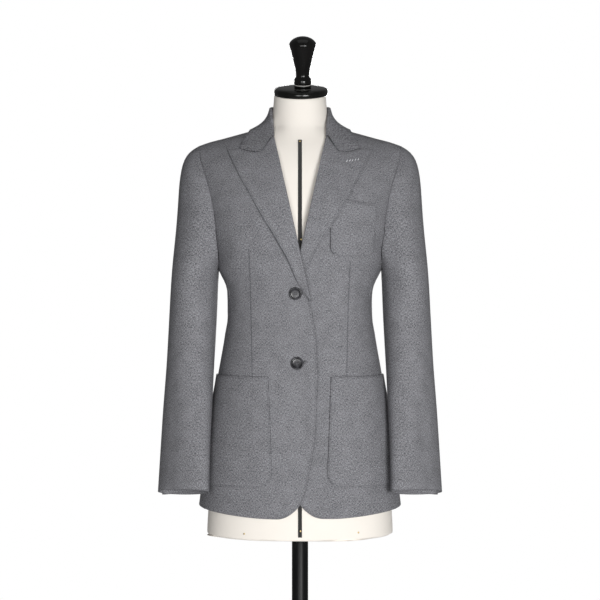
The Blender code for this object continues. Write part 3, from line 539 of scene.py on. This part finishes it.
Piece = namedtuple("Piece", "levels width length area sewn kind rimAngle")
cutPieces = {                # cut sizes in metres; sewn: which edges carry the pick stitching
    "front_right front_left": Piece(2, 0.245, 0.735, 0.73, "frontEdge", "torso", 45),
    "side_right side_left": Piece(2, 0.105, 0.47, 0.8, "none", "torso", 45),
    "back_right back_left": Piece(2, 0.225, 0.715, 0.8, "none", "torso", 45),
    "lapel_right lapel_left": Piece(3, 0.1, 0.3, 0.55, "lapelEdge", "torso", 67),
    "collar": Piece(3, 0.088, 0.42, 0.94, "collarEdge", "torso", 60),
    "sleeve_top_right sleeve_top_left": Piece(2, 0.215, 0.64, 0.82, "none", "arm", 72),
    "sleeve_under_right sleeve_under_left": Piece(2, 0.12, 0.545, 0.84, "none", "arm", 72),
    "pocket_right pocket_left": Piece(3, 0.186, 0.2, 0.98, "allRound", "torso", 45),
    "pocket_chest": Piece(3, 0.092, 0.101, 0.98, "allRound", "torso", 45),
}
woolPieces = {name: piece for names, piece in cutPieces.items() for name in names.split()}


cage = {"weld": 0.00002, "bend": 50, "skew": 90, "cornerTurn": 34}       # degrees
softEdge = {"cloth": 0.00055, "part": 0.0004}


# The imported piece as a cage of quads, its sharp edges creased
def mergedCopy(name, rim, smoothAbove=anyHeight):
    shape = bmesh.new()
    shape.from_mesh(nodes[name].data)
    bmesh.ops.remove_doubles(shape, verts=shape.verts, dist=cage["weld"])
    bmesh.ops.join_triangles(shape, faces=shape.faces, angle_face_threshold=radians(cage["bend"]),
                             angle_shape_threshold=radians(cage["skew"]))
    crease = shape.edges.layers.float.get("crease_edge") or shape.edges.layers.float.new("crease_edge")
    for edge in shape.edges:
        if len(edge.link_faces) == 2 and edge.calc_face_angle() > radians(rim):
            edge[crease] = 1.0
    corner = shape.verts.layers.float.get("crease_vert") or shape.verts.layers.float.new("crease_vert")
    for vert in shape.verts:
        rims = [edge for edge in vert.link_edges if edge[crease] > 0.5]
        if len(rims) == 2 and vert.co.z < smoothAbove:
            first, second = (edge.other_vert(vert).co - vert.co for edge in rims)
            if pi - first.angle(second) > radians(cage["cornerTurn"]):
                vert[corner] = 1.0
    return shape


# The object's mesh after a Catmull-Clark subdivision that still passes through its own corners
def subdivided(item, levels, rounds=4):
    divide = item.modifiers.new("finer", "SUBSURF")
    divide.levels = divide.render_levels = levels
    wanted = placeOf(item.data)
    pulled = wanted.copy()
    for _ in range(rounds):
        finer = evaluated(item)
        pulled += wanted - placeOf(finer)[:len(wanted)]
        setPlace(item.data, pulled)
    finer = evaluated(item)
    off = float(np.abs(wanted - placeOf(finer)[:len(wanted)]).max())
    print("   ", item.name, "off its own corners by", round(off, 5))
    bpy.data.objects.remove(item, do_unlink=True)
    return finer


def softened(mesh, offset):
    shape = bmesh.new()
    shape.from_mesh(mesh)
    crease = shape.edges.layers.float.get("crease_edge")
    rims = [edge for edge in shape.edges if edge[crease] > 0.5]
    if rims:
        bmesh.ops.bevel(shape, geom=rims, offset=offset, affect="EDGES", segments=2, profile=0.5, material=-1,
                        clamp_overlap=True)
    return shape


def rimEdges(mesh):
    crease = mesh.attributes.get("crease_edge")
    values = np.empty(len(mesh.edges))
    crease.data.foreach_get("value", values)
    ends = np.empty(len(mesh.edges) * 2, int)
    mesh.edges.foreach_get("vertices", ends)
    return ends.reshape(-1, 2)[values > 0.5]


sewing = {"front": (0.040, 0.050), "frontTop": (0.925, 0.935), "lapel": (0.006, 0.012),
          "lapelFoot": (0.945, 0.960), "collarTop": (1.250, 1.262)}


# 1 where a pick-stitched edge runs, 0 elsewhere
def sewnShare(points, which):
    x, y, z = points.T
    if which == "frontEdge":
        return (1 - ramp(np.abs(x), *sewing["front"])) * (1 - ramp(z, *sewing["frontTop"])) * (y < 0)
    if which == "lapelEdge":
        return ramp(np.abs(x) - rollAt(z), *sewing["lapel"]) * ramp(z, *sewing["lapelFoot"])
    if which == "collarEdge":
        return 1 - ramp(z, *sewing["collarTop"])
    return np.ones(len(points)) if which == "allRound" else np.zeros(len(points))


# Distance of each point from the piece's edge
def rimDistance(points, ends, rimPoints):
    tree = treeOf((rimPoints[ends[:, 0]] + rimPoints[ends[:, 1]]) / 2)
    near = np.array([[found[1] for found in tree.find_n(place, 2)] for place in points])
    best = np.full(len(points), 9.0)
    for column in range(near.shape[1]):
        start, end = rimPoints[ends[near[:, column], 0]], rimPoints[ends[near[:, column], 1]]
        along = end - start
        share = np.clip(((points - start) * along).sum(1) / np.maximum((along ** 2).sum(1), 1e-12), 0, 1)
        best = np.minimum(best, np.linalg.norm(points - start - along * share[:, None], axis=1))
    return best


# How far each point lies to the side of a dart's line, and 1 beyond its ends
def besideLine(points, line):
    across, heights = np.array(line[::-1], float).T
    beside = points[:, 0] - np.interp(points[:, 2], heights, across)
    return np.where((points[:, 2] > heights[0]) & (points[:, 2] < heights[-1]), beside, 1.0)


darts = {                    # (across, height) down each front, from the chest to the pocket's top
    "front_right": ((-0.0915, 1.030), (-0.0890, 0.940), (-0.0850, 0.780)),
    "front_left": ((0.0900, 1.005), (0.0870, 0.930), (0.0830, 0.780)),
}


grain = {                    # how a worn piece is laid flat again, for its weave
    "round": 0.150, "collarRound": 0.07, "collarFall": 0.7, "headTurn": 0.8, "headOut": 0.19,
    "shoulder": (1.05, 1.16), "shoulderFall": 0.85, "deep": 0.125, "lapelLean": 22,
}


# Flat place on the cloth in metres, across and along its straight grain
def clothPlace(points, name, kind):
    x, y, z = points.T
    if kind == "arm":
        side = 1 if name.endswith("left") else -1
        middleX, middleY = armAxis(z, side)
        turned = 1 if "top" in name else -1
        around = np.arctan2(y - middleY, (x - middleX) * side * turned) * arm["radius"]
        along = z - grain["headTurn"] * (np.abs(x) - grain["headOut"]) * ramp(z, *sleeveHead)
        return np.stack([around, along, np.zeros(len(points))], axis=1)
    if name == "collar":
        return np.stack([np.arctan2(x, y) * grain["collarRound"], z + y * grain["collarFall"],
                         np.zeros(len(points))], axis=1)
    high = ramp(z, *grain["shoulder"]) * (not name.startswith("side"))
    out = x * np.sign(x.mean())
    fore = y if name.startswith("back") else -y
    across = out * high + np.arctan2(out, fore) * grain["round"] * (1 - high)
    along = z + grain["shoulderFall"] * (grain["deep"] - np.abs(y)) * high
    lean = radians(grain["lapelLean"] if name.startswith("lapel") else 0)
    return np.stack([(across * cos(lean) + along * sin(lean)) * np.sign(x.mean()),
                     along * cos(lean) - across * sin(lean), np.zeros(len(points))], axis=1)


def makeCloth(name, piece):
    smoothAbove = sleeveHead[1] if piece.kind == "arm" else anyHeight
    rough = toObject(name + "_cage", mergedCopy(name, piece.rimAngle, smoothAbove))
    mesh = subdivided(rough, piece.levels)
    points = placeOf(mesh)
    if piece.kind == "arm":
        points = creaseArm(points, 1 if name.endswith("left") else -1)
    elif name != "collar":
        points = creaseTorso(points)
    if name == "front_right":
        points = liftFrontEdge(points)
    if name in lapelRise:
        points = liftLapel(points, name)
    setPlace(mesh, points)
    ends = rimEdges(mesh)
    outer = (normalOf(mesh) * outwardOf(points, name, piece.kind)).sum(axis=1) > 0
    skinEnds = ends[outer[ends[:, 0]] & outer[ends[:, 1]]]
    if piece.kind == "arm":
        points = easeIn(points, skinEnds, name.rsplit("_", 1)[1])
        setPlace(mesh, points)
    item = toObject(name + "_cloth", softened(mesh, softEdge["cloth"]), finishes["wool"], smooth=80)
    final = placeOf(item.data)
    setAttribute(item.data, "cloth", clothPlace(final, name, piece.kind))
    setAttribute(item.data, "rim", rimDistance(final, ends, points))
    setAttribute(item.data, "sewn", sewnShare(final, piece.sewn))
    onDart = besideLine(final, darts[name]) if name in darts else np.full(len(final), 1.0)
    setAttribute(item.data, "dart", onDart)
    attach(item, "root")
    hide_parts(name)
    return item, skinEnds, points


easing = {"full": 0.0045, "reach": 0.0080, "gap": 0.0005, "near": 0.002, "far": 0.045, "blend": 0.0008,
          "marks": 6}


# Moves a sleeve's head on to the armhole, so that the two edges run together
def easeIn(points, skinEnds, side):
    marks = []
    for part in ("front_", "side_", "back_"):
        _, ends, rim = clothItems[part + side]
        marks += [rim[ends[:, 0]] + (rim[ends[:, 1]] - rim[ends[:, 0]]) * k / easing["marks"]
                  for k in range(easing["marks"])]
    armhole, edge = treeOf(np.concatenate(marks)), np.unique(skinEnds)
    moves, head = np.zeros((len(edge), 3)), treeOf(points[edge])
    for row, index in enumerate(edge):
        place, _, gap = armhole.find(points[index])
        if easing["gap"] < gap < easing["reach"]:
            hold = 1 - ramp(np.array(gap), easing["full"], easing["reach"])
            moves[row] = (np.array(place) - points[index]) * (1 - easing["gap"] / gap) * hold
    eased = points.copy()
    for index, place in enumerate(points):
        found = head.find_n(place, 4)
        weights = np.array([1 / (gap + easing["blend"]) ** 2 for _, _, gap in found])
        move = (moves[[row for _, row, _ in found]] * weights[:, None]).sum(axis=0) / weights.sum()
        eased[index] += move * (1 - ramp(np.array(found[0][2]), easing["near"], easing["far"]))
    return eased


headLean = 1.12               # the height above which a sleeve's outside starts to face up


def outwardOf(points, name, kind):
    if kind != "arm":
        return torsoOutward(points)
    x, y = armAxis(points[:, 2], 1 if name.endswith("left") else -1)
    return np.stack([points[:, 0] - x, points[:, 1] - y, np.clip(points[:, 2] - headLean, 0, 1)],
                    axis=1)


stitches = {"step": 0.0046, "uneven": (0.9, 1.1), "length": 0.0013, "radius": 0.00026, "lift": 0.0015,
            "facing": 0.3, "shortest": 6}


# Runs of joined edges, each as an ordered list of point numbers
def chainsOf(ends):
    linked = {}
    for first, second in ends:
        linked.setdefault(first, []).append(second)
        linked.setdefault(second, []).append(first)
    seen, chains = set(), []
    for start in sorted(linked, key=lambda key: (len(linked[key]), key)):
        if start in seen:
            continue
        chain = [start]
        seen.add(start)
        while onward := [key for key in linked[chain[-1]] if key not in seen]:
            chain.append(onward[0])
            seen.add(onward[0])
        chains.append(chain)
    return chains


# Pick stitches: short sunk threads, a little inside the sewn edge of the outer skin
def stitchAlong(name, item, ends, points, which):
    mesh = item.data
    finder = surfaceFinder(item)
    keep = sewnShare(points, which) > 0.5
    outward = torsoOutward(points)
    shape = bmesh.new()
    middle = Vector(placeOf(mesh).mean(axis=0))
    for chain in chainsOf(ends[keep[ends[:, 0]] & keep[ends[:, 1]]]):
        if len(chain) > stitches["shortest"]:
            stitchChain(shape, [Vector(points[k]) for k in chain], [Vector(outward[k]) for k in chain],
                        finder, middle)
    threads = toObject(name + "_pickstitch", shape, finishes["greyThread"])
    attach(threads, "root")


def surfaceFinder(item):
    mesh = item.data
    return BVHTree.FromPolygons([Vector(place) for place in placeOf(mesh)],
                                [tuple(face.vertices) for face in mesh.polygons])


def stitchChain(shape, chain, outward, finder, middle):
    due = 0.0
    for start, end, away in zip(chain, chain[1:], outward):
        length = (end - start).length
        while due < length and length > 1e-7:
            along = (end - start).normalized()
            place = start.lerp(end, due / length)
            inward = away.cross(along).normalized()
            if inward.dot(middle - place) < 0:
                inward.negate()
            hit, facing, _, _ = finder.find_nearest(place + inward * wool["row"] + away * stitches["lift"])
            due += stitches["step"] * random.uniform(*stitches["uneven"])
            if hit is None or facing.dot(away) < stitches["facing"]:
                continue
            addThread(shape, hit, along, facing, stitches["length"], stitches["radius"])
        due -= length


# One short thread lying on the cloth
def addThread(shape, place, along, facing, length, radius):
    made = bmesh.ops.create_icosphere(shape, subdivisions=1, radius=1.0)["verts"]
    across = facing.cross(along).normalized()
    frameAt = Matrix((along * length / 2, across * radius, facing * radius)).transposed().to_4x4()
    bmesh.ops.transform(shape, matrix=Matrix.Translation(place) @ frameAt, verts=made)


clothItems = {}
for clothName, clothPiece in woolPieces.items():
    clothItems[clothName] = makeCloth(clothName, clothPiece)
print("stage: cloth made")
for clothName in ("front_right", "front_left", "lapel_right", "lapel_left", "collar", "pocket_right",
                  "pocket_left", "pocket_chest"):
    stitchAlong(clothName, *clothItems[clothName], woolPieces[clothName].sewn)
print("stage: edges stitched")


seam = {"reach": 0.0042, "radius": 0.0008, "sunk": 0.0009, "shortest": 5}
bodySeams = (("side_{0}", "front_{0}"), ("side_{0}", "back_{0}"), ("front_{0}", "back_{0}"))
armSeams = (("sleeve_under_{0}", "sleeve_top_{0}"), ("sleeve_top_{0}", "front_{0}"),
            ("sleeve_top_{0}", "back_{0}"), ("sleeve_under_{0}", "side_{0}"),
            ("sleeve_top_{0}", "side_{0}"), ("sleeve_under_{0}", "front_{0}"))


# The turned-in allowance at the bottom of each seam: a thin cord of cloth between two edges
def sewTogether(name, pairs):
    curve = bpy.data.curves.new(name, "CURVE")
    curve.dimensions = "3D"
    curve.bevel_depth = seam["radius"]
    curve.bevel_resolution = 2
    curve.use_fill_caps = True
    for first, second in pairs:
        _, ends, points = clothItems[first]
        _, otherEnds, otherPoints = clothItems[second]
        finder = treeOf(otherPoints[otherEnds[:, 0]])
        sunk, near = {}, set()
        outward = outwardOf(points, first, woolPieces[first].kind)
        for index in set(ends.ravel()):
            place, _, gap = finder.find(points[index])
            if gap < seam["reach"]:
                away = Vector(outward[index]).normalized()
                sunk[index] = (Vector(points[index]) + place) / 2 - away * seam["sunk"]
                near.add(index)
        for chain in chainsOf([pair for pair in ends if pair[0] in near and pair[1] in near]):
            if len(chain) < seam["shortest"]:
                continue
            line = curve.splines.new("POLY")
            line.points.add(len(chain) - 1)
            for point, index in zip(line.points, chain):
                point.co = (*sunk[index], 1.0)
    source = bpy.data.objects.new(name + "_curve", curve)
    bpy.context.scene.collection.objects.link(source)
    mesh = evaluated(source)
    bpy.data.objects.remove(source, do_unlink=True)
    mesh.materials.clear()
    mesh.materials.append(finishes["wool"])
    item = bpy.data.objects.new(name, mesh)
    bpy.context.scene.collection.objects.link(item)
    points = placeOf(mesh)
    setAttribute(mesh, "cloth", points[:, [0, 2, 1]].copy())
    for layer, value in (("rim", 1.0), ("sewn", 0.0), ("dart", 1.0)):
        setAttribute(mesh, layer, np.full(len(points), value))
    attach(item, "root")


for side in ("right", "left"):
    sewTogether("seams_body_" + side, [(a.format(side), b.format(side)) for a, b in bodySeams])
    sewTogether("seams_sleeve_" + side, [(a.format(side), b.format(side)) for a, b in armSeams])
sewTogether("seams_back", [("back_left", "back_right"), ("collar", "back_left"), ("collar", "back_right")])
print("stage: seams closed")


button = {
    "radius": 0.0115, "holeRadius": 0.00105, "holeSpread": 0.00185,
    "thread": 0.00042, "threadLength": 2.9, "threadApart": 0.60, "threadHeight": 0.00255, "threadCross": 0.0002,
    "profile": ((0, 0), (0.66, 0), (0.80, 0.0002), (0.93, 0.0007), (0.995, 0.0014), (1, 0.0020),
                (0.995, 0.0027), (0.96, 0.0033), (0.90, 0.0036), (0.83, 0.00355), (0.77, 0.0032),
                (0.73, 0.0027), (0.68, 0.0024), (0.50, 0.0022), (0.25, 0.00215), (0, 0.0021)),
}
frontNormal = -0.8           # faces whose y is below this look forward


def turnedShape(profile, steps=64):
    shape = bmesh.new()
    points = [shape.verts.new((radius, 0, height)) for radius, height in profile]
    edges = [shape.edges.new(pair) for pair in zip(points, points[1:])]
    bmesh.ops.spin(shape, geom=points + edges, cent=(0, 0, 0), axis=(0, 0, 1), angle=2 * pi, steps=steps,
                   use_merge=True, use_duplicate=False)
    bmesh.ops.remove_doubles(shape, verts=shape.verts, dist=1e-6)
    bmesh.ops.recalc_face_normals(shape, faces=shape.faces)
    return shape


# Middle of a packed button's underside and the way it faces
def facingOf(name):
    mesh = nodes[name].data
    points = placeOf(mesh)
    centre = Vector(points.mean(axis=0))
    forward = [face for face in mesh.polygons if face.normal.y < frontNormal]
    facing = sum((face.normal * face.area for face in forward), Vector()).normalized()
    depth = min((Vector(point) - centre).dot(facing) for point in points)
    return centre + facing * depth, facing


def makeButton(name, spin):
    foot, facing = facingOf(name)
    profile = [(button["radius"] * share, height) for share, height in button["profile"]]
    item = toObject(name + "_horn", turnedShape(profile), finishes["horn"], smooth=30)
    corners = [(cos(radians(45 + 90 * k + spin)), sin(radians(45 + 90 * k + spin))) for k in range(4)]
    for x, y in corners:
        shape = bmesh.new()
        bmesh.ops.create_cone(shape, cap_ends=True, segments=20, radius1=button["holeRadius"],
                              radius2=button["holeRadius"] * 1.08, depth=0.01)
        spread = button["holeSpread"]
        bmesh.ops.translate(shape, verts=shape.verts, vec=(x * spread, y * spread, 0.002))
        drill = toObject("drill", shape)
        cut = item.modifiers.new("hole", "BOOLEAN")
        cut.operation = "DIFFERENCE"
        cut.object = drill
        drilled = evaluated(item)
        item.modifiers.clear()
        item.data = drilled
        bpy.data.objects.remove(drill, do_unlink=True)
    stand = standOn(foot, facing)
    item.data.transform(stand)
    item.data.shade_smooth()
    item.data.set_sharp_from_angle(angle=radians(35))
    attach(item, "root")
    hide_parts(name)
    shape = bmesh.new()
    for k in (0, 1):
        for shift in (-button["threadApart"], button["threadApart"]):
            start, end = Vector((*corners[k], 0)), Vector((*corners[k + 2], 0))
            along = (end - start).normalized()
            beside = Vector((-along.y, along.x, 0)) * button["thread"] * shift
            height = button["threadHeight"] + button["threadCross"] * k
            middle = (start + end) / 2 * button["holeSpread"] + beside + Vector((0, 0, height))
            addThread(shape, middle, along, Vector((0, 0, 1)), button["holeSpread"] * button["threadLength"],
                      button["thread"])
    bmesh.ops.transform(shape, matrix=stand, verts=shape.verts)
    threads = toObject(name + "_thread", shape, finishes["greyThread"])
    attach(threads, "root")


makeButton("button_upper", 8)
makeButton("button_lower", 45)
print("stage: buttons made")


# Where the cloth's outer skin is, seen straight from the front
def outerPlace(finder, x, z):
    hit, normal, _, _ = finder.ray_cast(Vector((x, -1.0, z)), Vector((0, 1, 0)))
    return hit, normal


keyhole = {"length": 0.0225, "eye": 0.0021, "slit": 0.0007, "bite": 0.0012, "bar": 1.6, "thread": 0.00036,
           "step": 0.00062, "lift": 0.0001, "eyeLong": 2.2, "eyeWide": 0.62, "slitSteps": 30, "eyeSteps": 14,
           "eyeFrom": 150, "eyeTurn": 300}


# A corded keyhole buttonhole: close stitches all round its slit and its eye
def makeKeyhole(name, x, z):
    finder = surfaceFinder(clothItems["front_right"][0])
    shape = bmesh.new()
    eye, length = keyhole["eye"], keyhole["length"]
    slitSteps, eyeSteps = keyhole["slitSteps"], keyhole["eyeSteps"]
    along = [x - length + k / slitSteps * (length - eye) for k in range(slitSteps + 1)]
    turns = [radians(keyhole["eyeFrom"] - keyhole["eyeTurn"] * k / eyeSteps) for k in range(eyeSteps + 1)]
    marks = [(place, z + keyhole["slit"]) for place in along]
    marks += [(x + eye * cos(turn), z + eye * sin(turn)) for turn in turns]
    marks += [(place, z - keyhole["slit"]) for place in reversed(along)]
    for (startX, startZ), (endX, endZ) in zip(marks, marks[1:]):
        wide, tall = endX - startX, endZ - startZ
        steps = max(int((wide ** 2 + tall ** 2) ** 0.5 / keyhole["step"]), 1)
        for k in range(steps):
            hit, normal = outerPlace(finder, startX + wide * k / steps, startZ + tall * k / steps)
            out = Vector((tall, 0, -wide)).normalized()
            out = (out - normal * out.dot(normal)).normalized()
            addThread(shape, hit - out * keyhole["bite"] * 0.5 + normal * keyhole["lift"], out, normal,
                      keyhole["bite"] * keyhole["bar"], keyhole["thread"])
    # The dark flattened blob on the eye is painted shade standing in for the open hole's shadow; the stitches
    # round it are dark thread
    hit, normal = outerPlace(finder, x, z)
    addThread(shape, hit + normal * keyhole["lift"], Vector((1, 0, 0)), normal, eye * keyhole["eyeLong"],
              eye * keyhole["eyeWide"])
    item = toObject(name, shape, finishes["darkThreadAndEyeShade"])
    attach(item, "root")


makeKeyhole("buttonhole_upper", 0.0030, 0.942)
makeKeyhole("buttonhole_lower", 0.0084, 0.820)

lapelHole = {"start": (0.0845, 1.1800), "end": (0.1050, 1.1835), "count": 5, "length": 0.0078,
             "radius": 0.0007, "slant": 60, "sway": 8, "uneven": (0.75, 1.05), "lift": 0.00015}


# A hand-worked buttonhole on the left lapel: a row of slanted light stitches
def makeLapelHole():
    finder = surfaceFinder(clothItems["lapel_left"][0])
    shape = bmesh.new()
    (startX, startZ), (endX, endZ) = lapelHole["start"], lapelHole["end"]
    for k in range(lapelHole["count"]):
        share = k / (lapelHole["count"] - 1)
        hit, normal = outerPlace(finder, startX + (endX - startX) * share, startZ + (endZ - startZ) * share)
        slant = radians(lapelHole["slant"] + random.uniform(-lapelHole["sway"], lapelHole["sway"]))
        along = Vector((cos(slant), 0, sin(slant)))
        along = (along - normal * along.dot(normal)).normalized()
        addThread(shape, hit + normal * lapelHole["lift"], along, normal,
                  lapelHole["length"] * random.uniform(*lapelHole["uneven"]), lapelHole["radius"])
    item = toObject("buttonhole_lapel", shape, finishes["lightThread"])
    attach(item, "root")


makeLapelHole()
print("stage: buttonholes worked")


def makeFiner(name, newName, levels, finish, creaseAt=50, smooth=50):
    mesh = subdivided(toObject(newName + "_cage", mergedCopy(name, creaseAt)), levels)
    item = toObject(newName, softened(mesh, softEdge["part"]), finishes[finish], smooth)
    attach(item, "root")
    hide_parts(name)
    return item


neck = {"low": 1.212, "high": 1.288, "rounds": 70}


# The cover runs from the neck on to the shoulders without a ledge
def softenNeck(item):
    shape = bmesh.new()
    shape.from_mesh(item.data)
    around = [vert for vert in shape.verts if neck["low"] < vert.co.z < neck["high"]]
    for _ in range(neck["rounds"]):
        bmesh.ops.smooth_vert(shape, verts=around, factor=0.5, use_axis_x=True, use_axis_y=True,
                              use_axis_z=True)
    for edge in {edge for vert in around for edge in vert.link_edges}:
        edge.smooth = True
    shape.to_mesh(item.data)
    shape.free()
    item.data.update()


finial = {"tilt": 16, "foot": 0.0035, "ring": 0.0012}


# The way the neck leans, with its cap and knob
def neckAxis():
    return Vector((0, -sin(radians(finial["tilt"])), cos(radians(finial["tilt"]))))


# The turned knob on the neck cap, with a thin bright ring at its foot
def makeFinial():
    axis = neckAxis()
    points = [Vector(point) for point in placeOf(nodes["neck_knob"].data)]
    centre = sum(points, Vector()) / len(points)
    heights = [(point - centre).dot(axis) for point in points]
    foot = centre + axis * min(heights)
    tall = max(heights) - min(heights)
    ringFoot = finial["foot"]
    ringTop = ringFoot + finial["ring"]
    knob = ((0, ringTop), (0.0145, ringTop), (0.0156, ringTop + 0.0008), (0.0160, 0.0075), (0.0160, 0.0115),
            (0.0154, 0.0150), (0.0140, 0.0172), (0.0127, 0.0190), (0.0124, 0.0230), (0.0131, 0.0300),
            (0.0150, 0.0390), (0.0178, 0.0510), (0.0208, 0.0628), (0.0231, 0.0712), (0.0244, 0.0755),
            (0.0249, 0.0778), (0.0247, 0.0800), (0.0236, 0.0826), (0.0205, 0.0862), (0.0160, 0.0894),
            (0.0105, 0.0918), (0.0050, tall - 0.0002), (0, tall))
    knobFoot = ((0, 0), (0.0152, 0), (0.0158, 0.0008), (0.0156, ringFoot - 0.0004),
                   (0.0150, ringFoot - 0.0001), (0, ringFoot - 0.0001))
    brightRing = ((0, ringFoot), (0.0150, ringFoot), (0.0153, ringFoot + 0.0006), (0.0150, ringTop - 0.0001),
                  (0, ringTop - 0.0001))
    rings = {"neck_finial": ("lacquer", knob), "finial_foot": ("lacquer", knobFoot),
             "finial_ring": ("pewter", brightRing)}
    for name, (finish, profile) in rings.items():
        setTurned(name, profile, foot, axis, finish, "neck_knob")


def setTurned(name, profile, foot, axis, finish, packed):
    item = toObject(name, turnedShape(profile, steps=96), finishes[finish], smooth=55)
    item.data.transform(standOn(foot, axis))
    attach(item, "root")
    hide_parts(packed)


# (share of the width, share of the height) up the cap's outline
capOutline = ((0, 0), (0.945, 0), (0.975, 0.05), (0.993, 0.16), (1.0, 0.34), (0.996, 0.52), (0.980, 0.68),
              (0.950, 0.79), (0.900, 0.865), (0.80, 0.925), (0.62, 0.97), (0.35, 0.995), (0, 1.0))


# The lacquered disc on the neck: a soft edge and a low dome
def makeCap():
    axis = neckAxis()
    points = [Vector(point) for point in placeOf(nodes["neck_cap"].data)]
    middle = Vector([(min(values) + max(values)) / 2 for values in zip(*points)])
    heights = [(point - middle).dot(axis) for point in points]
    low, high = min(heights), max(heights)
    wide = max((point - middle - axis * (point - middle).dot(axis)).length for point in points)
    outline = [(wide * out, (high - low) * up) for out, up in capOutline]
    setTurned("neck_disc", outline, middle + axis * low, axis, "lacquer", "neck_cap")


formItem = makeFiner("form_body", "form_jersey", 2, "jersey", creaseAt=44)
softenNeck(formItem)
tapeItem = makeFiner("form_tape", "form_ribbon", 2, "ribbon", creaseAt=50)
makeCap()
makeFinial()
for partName in ("pole", "pole_socket", "base"):
    makeFiner(partName, partName + "_steel", 1, "steel", creaseAt=30, smooth=40)

pins = {"head": 0.0017, "flat": 0.45, "proud": 0.0004}
Pin = namedtuple("Pin", "x z")
pinPlaces = (Pin(0.0, 1.217), Pin(0.0018, 1.038), Pin(0.0008, 0.519), Pin(-0.0998, 0.5120),
             Pin(0.1045, 0.5140))


def pushPins():
    shape = bmesh.new()
    onForm, onTape = surfaceFinder(formItem), surfaceFinder(tapeItem)
    for pin in pinPlaces:
        hit, normal = outerPlace(onTape, pin.x, pin.z)
        if hit is None:
            hit, normal = outerPlace(onForm, pin.x, pin.z)
        head = bmesh.ops.create_uvsphere(shape, u_segments=16, v_segments=8, radius=pins["head"])["verts"]
        bmesh.ops.scale(shape, vec=(1, 1, pins["flat"]), verts=head)
        bmesh.ops.transform(shape, matrix=standOn(hit + normal * pins["proud"], normal), verts=head)
    item = toObject("brass_pins", shape, finishes["brass"])
    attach(item, "root")


pushPins()
print("stage: form, tape, pins and stand made")

setCamera()
setStudio()
layFloor()
